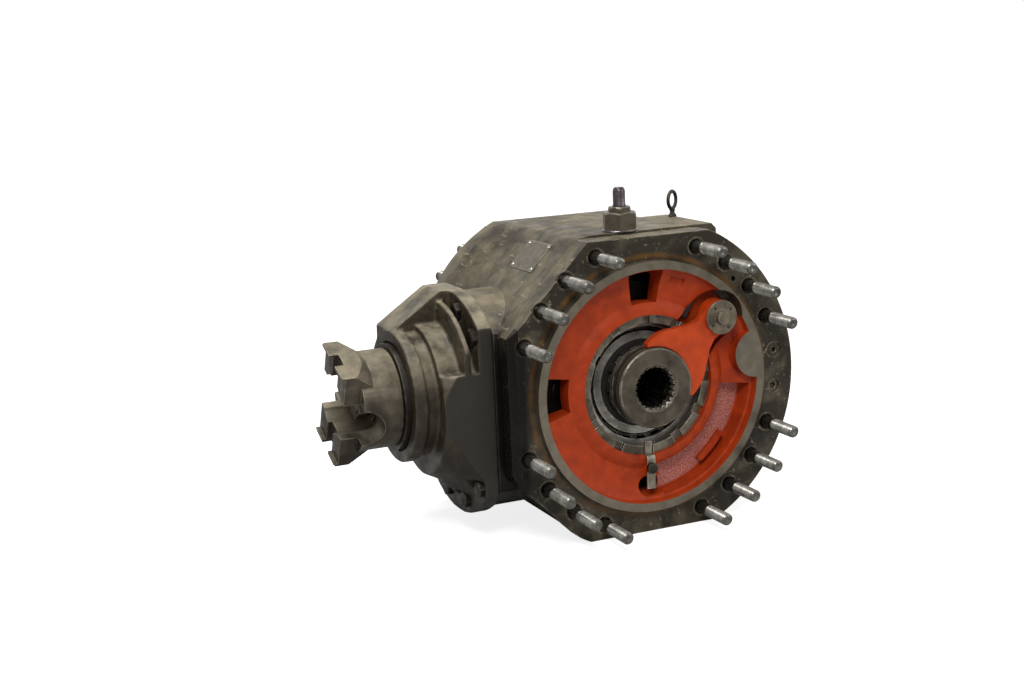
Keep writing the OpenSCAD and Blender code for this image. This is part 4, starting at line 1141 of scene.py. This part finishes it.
@dataclass
class FlangeStuds:
    """Sixteen threaded studs on each axle flange."""

    RIM: ClassVar[Profile] = ((0.0112, 0.0012), (0.0124, 0.0002), (0.0139, 0.0002), (0.0139, 0.0058),
                              (0.0112, 0.0058), (0.0112, 0.0012))
    shop: Workshop
    radius: float = 0.009
    reach: float = 0.075
    seat: float = 0.026

    def build(self) -> None:
        """Build both sets of studs and the fittings of the near flange."""
        thread = Thread(self.radius, self.reach + self.seat)
        for side, face, way in (("near", 0.0, -1.0), ("far", WIDTH, 1.0)):
            bm = bmesh.new()
            for place in stud_places(face - way * self.seat):
                thread.add(bm, aim(place, Vector((0, way, 0))))
            self.shop.solid(f"{side}_stud_set", bm, "stud_zinc", [f"{side}_studs"], 50.0)
            rims = bmesh.new()
            for place in stud_places(face):
                lathe(rims, self.RIM, 40, aim(place, Vector((0, -way, 0))))
            self.shop.solid(f"{side}_hole_rims", rims, "housing_paint", smooth=30.0)
        for node, name in (("flange_dowel", "dowel_plug"), ("flange_screw", "socket_screw")):
            self.shop.follow(node, name, SMALL_EDGE, "worn_steel")


@dataclass
class TopFittings:
    """Breather, ring, blank plate and plugs."""

    WASHER: ClassVar[Profile] = ((0.0, -0.019), (0.0098, -0.019), (0.0098, 0.0), (0.0255, 0.0),
                                 (0.0262, 0.0006), (0.0262, 0.0014), (0.0255, 0.0020), (0.0, 0.0020))
    NIPPLE: ClassVar[Profile] = ((0.0, 0.034), (0.0093, 0.034), (0.0096, 0.037), (0.0090, 0.0385),
                                 (0.0090, 0.0575), (0.0083, 0.0610), (0.0062, 0.0632), (0.0, 0.0639))
    SHANK: ClassVar[Profile] = ((0.0, -0.015), (0.0048, -0.015), (0.0048, 0.0), (0.0062, 0.0),
                                (0.0064, 0.0024), (0.0040, 0.0050), (0.0036, 0.0085), (0.0050, 0.0110),
                                (0.0, 0.0120))
    # Width across flats, height, seat and chamfer of the two hexagons
    BODY: ClassVar[Sequence[float]] = (0.0462, 0.0258, 0.0018, 0.05)
    CROWN: ClassVar[Sequence[float]] = (0.0315, 0.0078, 0.0275, 0.2)
    shop: Workshop
    breather_at: tuple[float, float] = (-0.0095, 0.062)
    eye_at: tuple[float, float] = (0.1275, 0.150)
    eye_middle: float = 0.0255
    eye_ring: float = 0.0122
    eye_wire: float = 0.0027
    eye_stretch: float = 1.08
    eye_turn: float = math.radians(55)
    eye_steps: int = 56
    eye_sides: int = 14

    def build(self) -> None:
        """Build the small fittings."""
        self._breather()
        self._eye()
        for node, name, width, finish in (("nameplate", "blank_plate", 0.0003, "plate_paint"),
                                          ("plate_rivets", "rivet_set", 0.0002, "bright_steel"),
                                          ("drain_plug", "drain_plug_body", SMALL_EDGE, "dark_steel"),
                                          ("fill_plug", "fill_plug_body", SMALL_EDGE, "dark_steel")):
            self.shop.follow(node, name, width, finish)

    def _breather(self) -> None:
        """Build the air valve: washer, two hexagons and a domed nipple."""
        base = Matrix.Translation((*self.breather_at, PAD_TOP)) @ Matrix.Rotation(TO_CAMERA, 4, "Z")
        washer, body, crown, nipple = (bmesh.new() for _ in range(4))
        lathe(washer, self.WASHER, 64, base)
        add_hex(body, *self.BODY, base)
        add_hex(crown, *self.CROWN, base)
        lathe(nipple, self.NIPPLE, 48, base)
        self.shop.solid("breather_washer", washer, "purple_steel", ["breather"])
        self.shop.solid("breather_body", body, "fitting_steel")
        self.shop.solid("breather_crown", crown, "worn_steel")
        self.shop.solid("breather_nipple", nipple, "purple_steel")

    def _eye(self) -> None:
        """Build the eye bolt with its open ring turned partly to the camera."""
        bm = bmesh.new()
        base = Matrix.Translation((*self.eye_at, PAD_TOP))
        lathe(bm, self.SHANK, 32, base)
        spin = Matrix.Rotation(TO_CAMERA + self.eye_turn, 4, "Z")
        turn = base @ Matrix.Translation((0, 0, self.eye_middle)) @ spin
        rows = []
        for k in range(self.eye_steps):
            a = 2 * math.pi * k / self.eye_steps
            row = []
            for m in range(self.eye_sides):
                b = 2 * math.pi * m / self.eye_sides
                r = self.eye_ring + self.eye_wire * math.cos(b)
                tall = self.eye_stretch * r * math.sin(a)
                row.append(bm.verts.new(turn @ Vector((self.eye_wire * math.sin(b), r * math.cos(a), tall))))
            rows.append(row)
        join(bm, rows + rows[:1])
        self.shop.solid("eye_bolt", bm, "dark_steel", ["lift_ring"])


@dataclass
class ShiftFork:
    """Red fork, its rod and its cap, which slide to lock the axle."""

    CAP: ClassVar[Profile] = ((0.0, -0.024), (0.0064, -0.024), (0.0064, 0.0), (0.0246, 0.0), (0.0252, 0.0006),
                              (0.0252, 0.0030), (0.0244, 0.0038), (0.0122, 0.0040), (0.0112, 0.0046),
                              (0.0106, 0.0098), (0.0094, 0.0112), (0.0062, 0.0118), (0.0, 0.0110))
    PUNCH: ClassVar[Profile] = ((0.0, 0.0034), (0.0021, 0.0034), (0.0023, 0.0039), (0.0016, 0.0042),
                                (0.0, 0.0040))
    PUNCH_ANGLES: ClassVar[Sequence[float]] = (38.0, 128.0, 214.0, 305.0)
    shop: Workshop
    punch_circle: float = 0.0182

    def build(self) -> None:
        """Build the fork group."""
        self.shop.follow("shift_fork", "fork_casting", 0.002, "fork_paint", 3, "lock_fork")
        self._cap()
        self.shop.dress_node("fork_rod", "dark_steel")

    def _cap(self) -> None:
        """Build the round cap over the rod's end: a disc with punch marks and a domed head."""
        bm = bmesh.new()
        turn = aim(Vector((ROD[0], FORK_FACE_Y, ROD[1])), Vector((0, -1, 0)))
        lathe(bm, self.CAP, 72, turn)
        self.shop.solid("rod_cap", bm, "cap_steel", ["fork_bolt"], body="lock_fork")
        for number, degrees in enumerate(self.PUNCH_ANGLES):
            angle = math.radians(degrees)
            aside = (self.punch_circle * math.cos(angle), self.punch_circle * math.sin(angle), 0.0)
            mark = bmesh.new()
            lathe(mark, self.PUNCH, 20, turn @ Matrix.Translation(aside))
            self.shop.solid(f"punch_mark_{number}", mark, "dark_iron", body="lock_fork")


@dataclass
class GearTrain:
    """Everything that turns inside the housing, and the sliding sleeve."""

    COATS: ClassVar[dict[str, Sequence[str]]] = {
        "gear_steel": ("ring_gear", "pinion_shaft", "side_gear_near", "side_gear_far", "spider_right",
                       "spider_left", "spider_top", "spider_bottom", "spider_cross"),
        "dark_iron": ("case_near", "case_far"),
        "dark_steel": ("ring_bolts", "case_bolts"),
        "bright_steel": ("head_cup", "nose_cup", "head_cone", "nose_cone", "head_rollers", "nose_rollers",
                         "bearing_spacer"),
        "bronze": ("side_washers", "spider_washers"),
        "seal_rubber": ("oil_seal",),
    }
    shop: Workshop

    def build(self) -> None:
        """Build the sleeve and dress the gears."""
        self.shop.follow("dog_sleeve", "sliding_sleeve", 0.0007, "sleeve_steel", body="lock_sleeve")
        for finish, nodes in self.COATS.items():
            for node in nodes:
                self.shop.dress_node(node, finish)


@dataclass
class DriveYoke:
    """Wing-bearing yoke with its shield and nut."""

    shop: Workshop

    def build(self) -> None:
        """Build the yoke group."""
        self.shop.follow("yoke", "yoke_forging", 0.0018, "yoke_steel", 3, "drive_pinion")
        self.shop.follow("dust_shield", "shield_ring", SMALL_EDGE, "dark_steel", body="drive_pinion")
        for node in ("yoke_nut", "yoke_washer"):
            self.shop.dress_node(node, "worn_steel")


@dataclass
class Studio:
    """Pale floor, soft lamps and the photograph's camera."""

    LAMPS: ClassVar = (("key", (-0.9, -1.6, 1.7), 0.8, 38.0), ("fill", (1.5, -1.1, 0.9), 1.0, 9.0),
                       ("top", (-0.3, 0.2, 1.9), 0.8, 26.0))
    azimuth: float = -23.22
    elevation: float = 11.55
    roll: float = -2.61
    distance: float = 10.627
    aside: float = 0.944
    above: float = -0.304
    lens: float = 54.74
    lamp_aim: tuple[float, float, float] = (-0.05, MID_Y, 0.0)
    floor_gap: float = 0.0005
    floor_half: float = 40.0
    floor_tone: float = 0.62
    floor_lift: float = 0.82
    lift_span: tuple[float, float] = (0.7, 2.2)

    def build(self) -> None:
        """Build the studio."""
        self._camera()
        self._floor()
        self._world()
        for name, place, size, power in self.LAMPS:
            self._lamp(name, Vector(place), size, power)
        bpy.context.scene.view_settings.view_transform = "Standard"

    def _camera(self) -> None:
        """Put the camera at the photograph's viewing angle."""
        az, el, roll = (math.radians(v) for v in (self.azimuth, self.elevation, self.roll))
        back = Vector((math.sin(az) * math.cos(el), -math.cos(az) * math.cos(el), math.sin(el)))
        level = Vector((math.cos(az), math.sin(az), 0))
        upright = back.cross(level)
        right = math.cos(roll) * level + math.sin(roll) * upright
        up = math.cos(roll) * upright - math.sin(roll) * level
        data = bpy.data.cameras.new("photo_camera")
        data.lens = self.lens
        data.sensor_width = 36.0
        camera = bpy.data.objects.new("photo_camera", data)
        place = (self.distance * back - self.aside * right - self.above * up) * STUD_CIRCLE
        turn = Matrix((right, up, back)).transposed().to_4x4()
        camera.matrix_world = Matrix.Translation(place) @ turn
        bpy.context.scene.collection.objects.link(camera)
        bpy.context.scene.camera = camera

    def _floor(self) -> None:
        """Lay a pale floor under the lowest point."""
        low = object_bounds()[0].z - self.floor_gap
        half = self.floor_half
        bm = bmesh.new()
        corners = [(-half, -half), (half, -half), (half, half), (-half, half)]
        bm.faces.new([bm.verts.new((x, y, low)) for x, y in corners])
        mesh = bpy.data.meshes.new("floor")
        bm.to_mesh(mesh)
        bm.free()
        floor = bpy.data.objects.new("floor", mesh)
        bpy.context.scene.collection.objects.link(floor)
        mesh.materials.append(self._floor_white())
        floor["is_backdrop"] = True

    def _floor_white(self) -> bpy.types.Material:
        """Make the floor's material, which glows to the camera and more so far away.

        Returns:
            The new material.
        """
        material = bpy.data.materials.new("floor_white")
        material.use_nodes = True
        g = Graph(material.node_tree)
        shader = material.node_tree.nodes["Principled BSDF"]
        g.set(shader, "Base Color", (self.floor_tone, self.floor_tone, self.floor_tone, 1.0))
        g.set(shader, "Roughness", 0.95)
        g.set(shader, "Specular IOR Level", 0.1)
        g.set(shader, "Emission Color", (1.0, 1.0, 1.0, 1.0))
        lift = g.span(g.length(g.place()), self.lift_span[0], self.lift_span[1], self.floor_lift, 1.0)
        g.set(shader, "Emission Strength", g.times(g.add("LightPath").outputs["Is Camera Ray"], lift))
        return material

    def _world(self) -> None:
        """Light the surroundings softly, white where the camera sees them."""
        world = bpy.data.worlds.new("studio")
        bpy.context.scene.world = world
        world.use_nodes = True
        g = Graph(world.node_tree)
        path = g.add("LightPath").outputs
        mirrored = g.math("MAXIMUM", path["Is Glossy Ray"], path["Is Transmission Ray"])
        seen = g.math("MAXIMUM", path["Is Camera Ray"], mirrored)
        shader = world.node_tree.nodes["Background"]
        g.set(shader, "Color", (1.0, 1.0, 1.0, 1.0))
        g.set(shader, "Strength", g.span(seen, 0.0, 1.0, 0.2, 1.0))

    def _lamp(self, name: str, place: Vector, size: float, power: float) -> None:
        """Add one soft lamp that looks at the part.

        Args:
            name: Name of the lamp.
            place: Where it stands.
            size: Width of its face in metres.
            power: Power in watts.
        """
        data = bpy.data.lights.new(name, "AREA")
        data.size = size
        data.energy = power
        lamp = bpy.data.objects.new(name, data)
        lamp.matrix_world = aim(place, place - Vector(self.lamp_aim))
        bpy.context.scene.collection.objects.link(lamp)


def main() -> None:
    """Build every sub-assembly in order and report each piece."""
    logging.basicConfig(level=logging.INFO, format="%(message)s")
    shop = Workshop()
    parts = (HousingCasting, PinionCage, BearingCarriers, FlangeStuds, TopFittings, ShiftFork, GearTrain,
             DriveYoke)
    for assembly in (*(part(shop) for part in parts), Studio()):
        assembly.build()
        LOG.info("%s done", type(assembly).__name__)


if __name__ == "__main__":
    main()
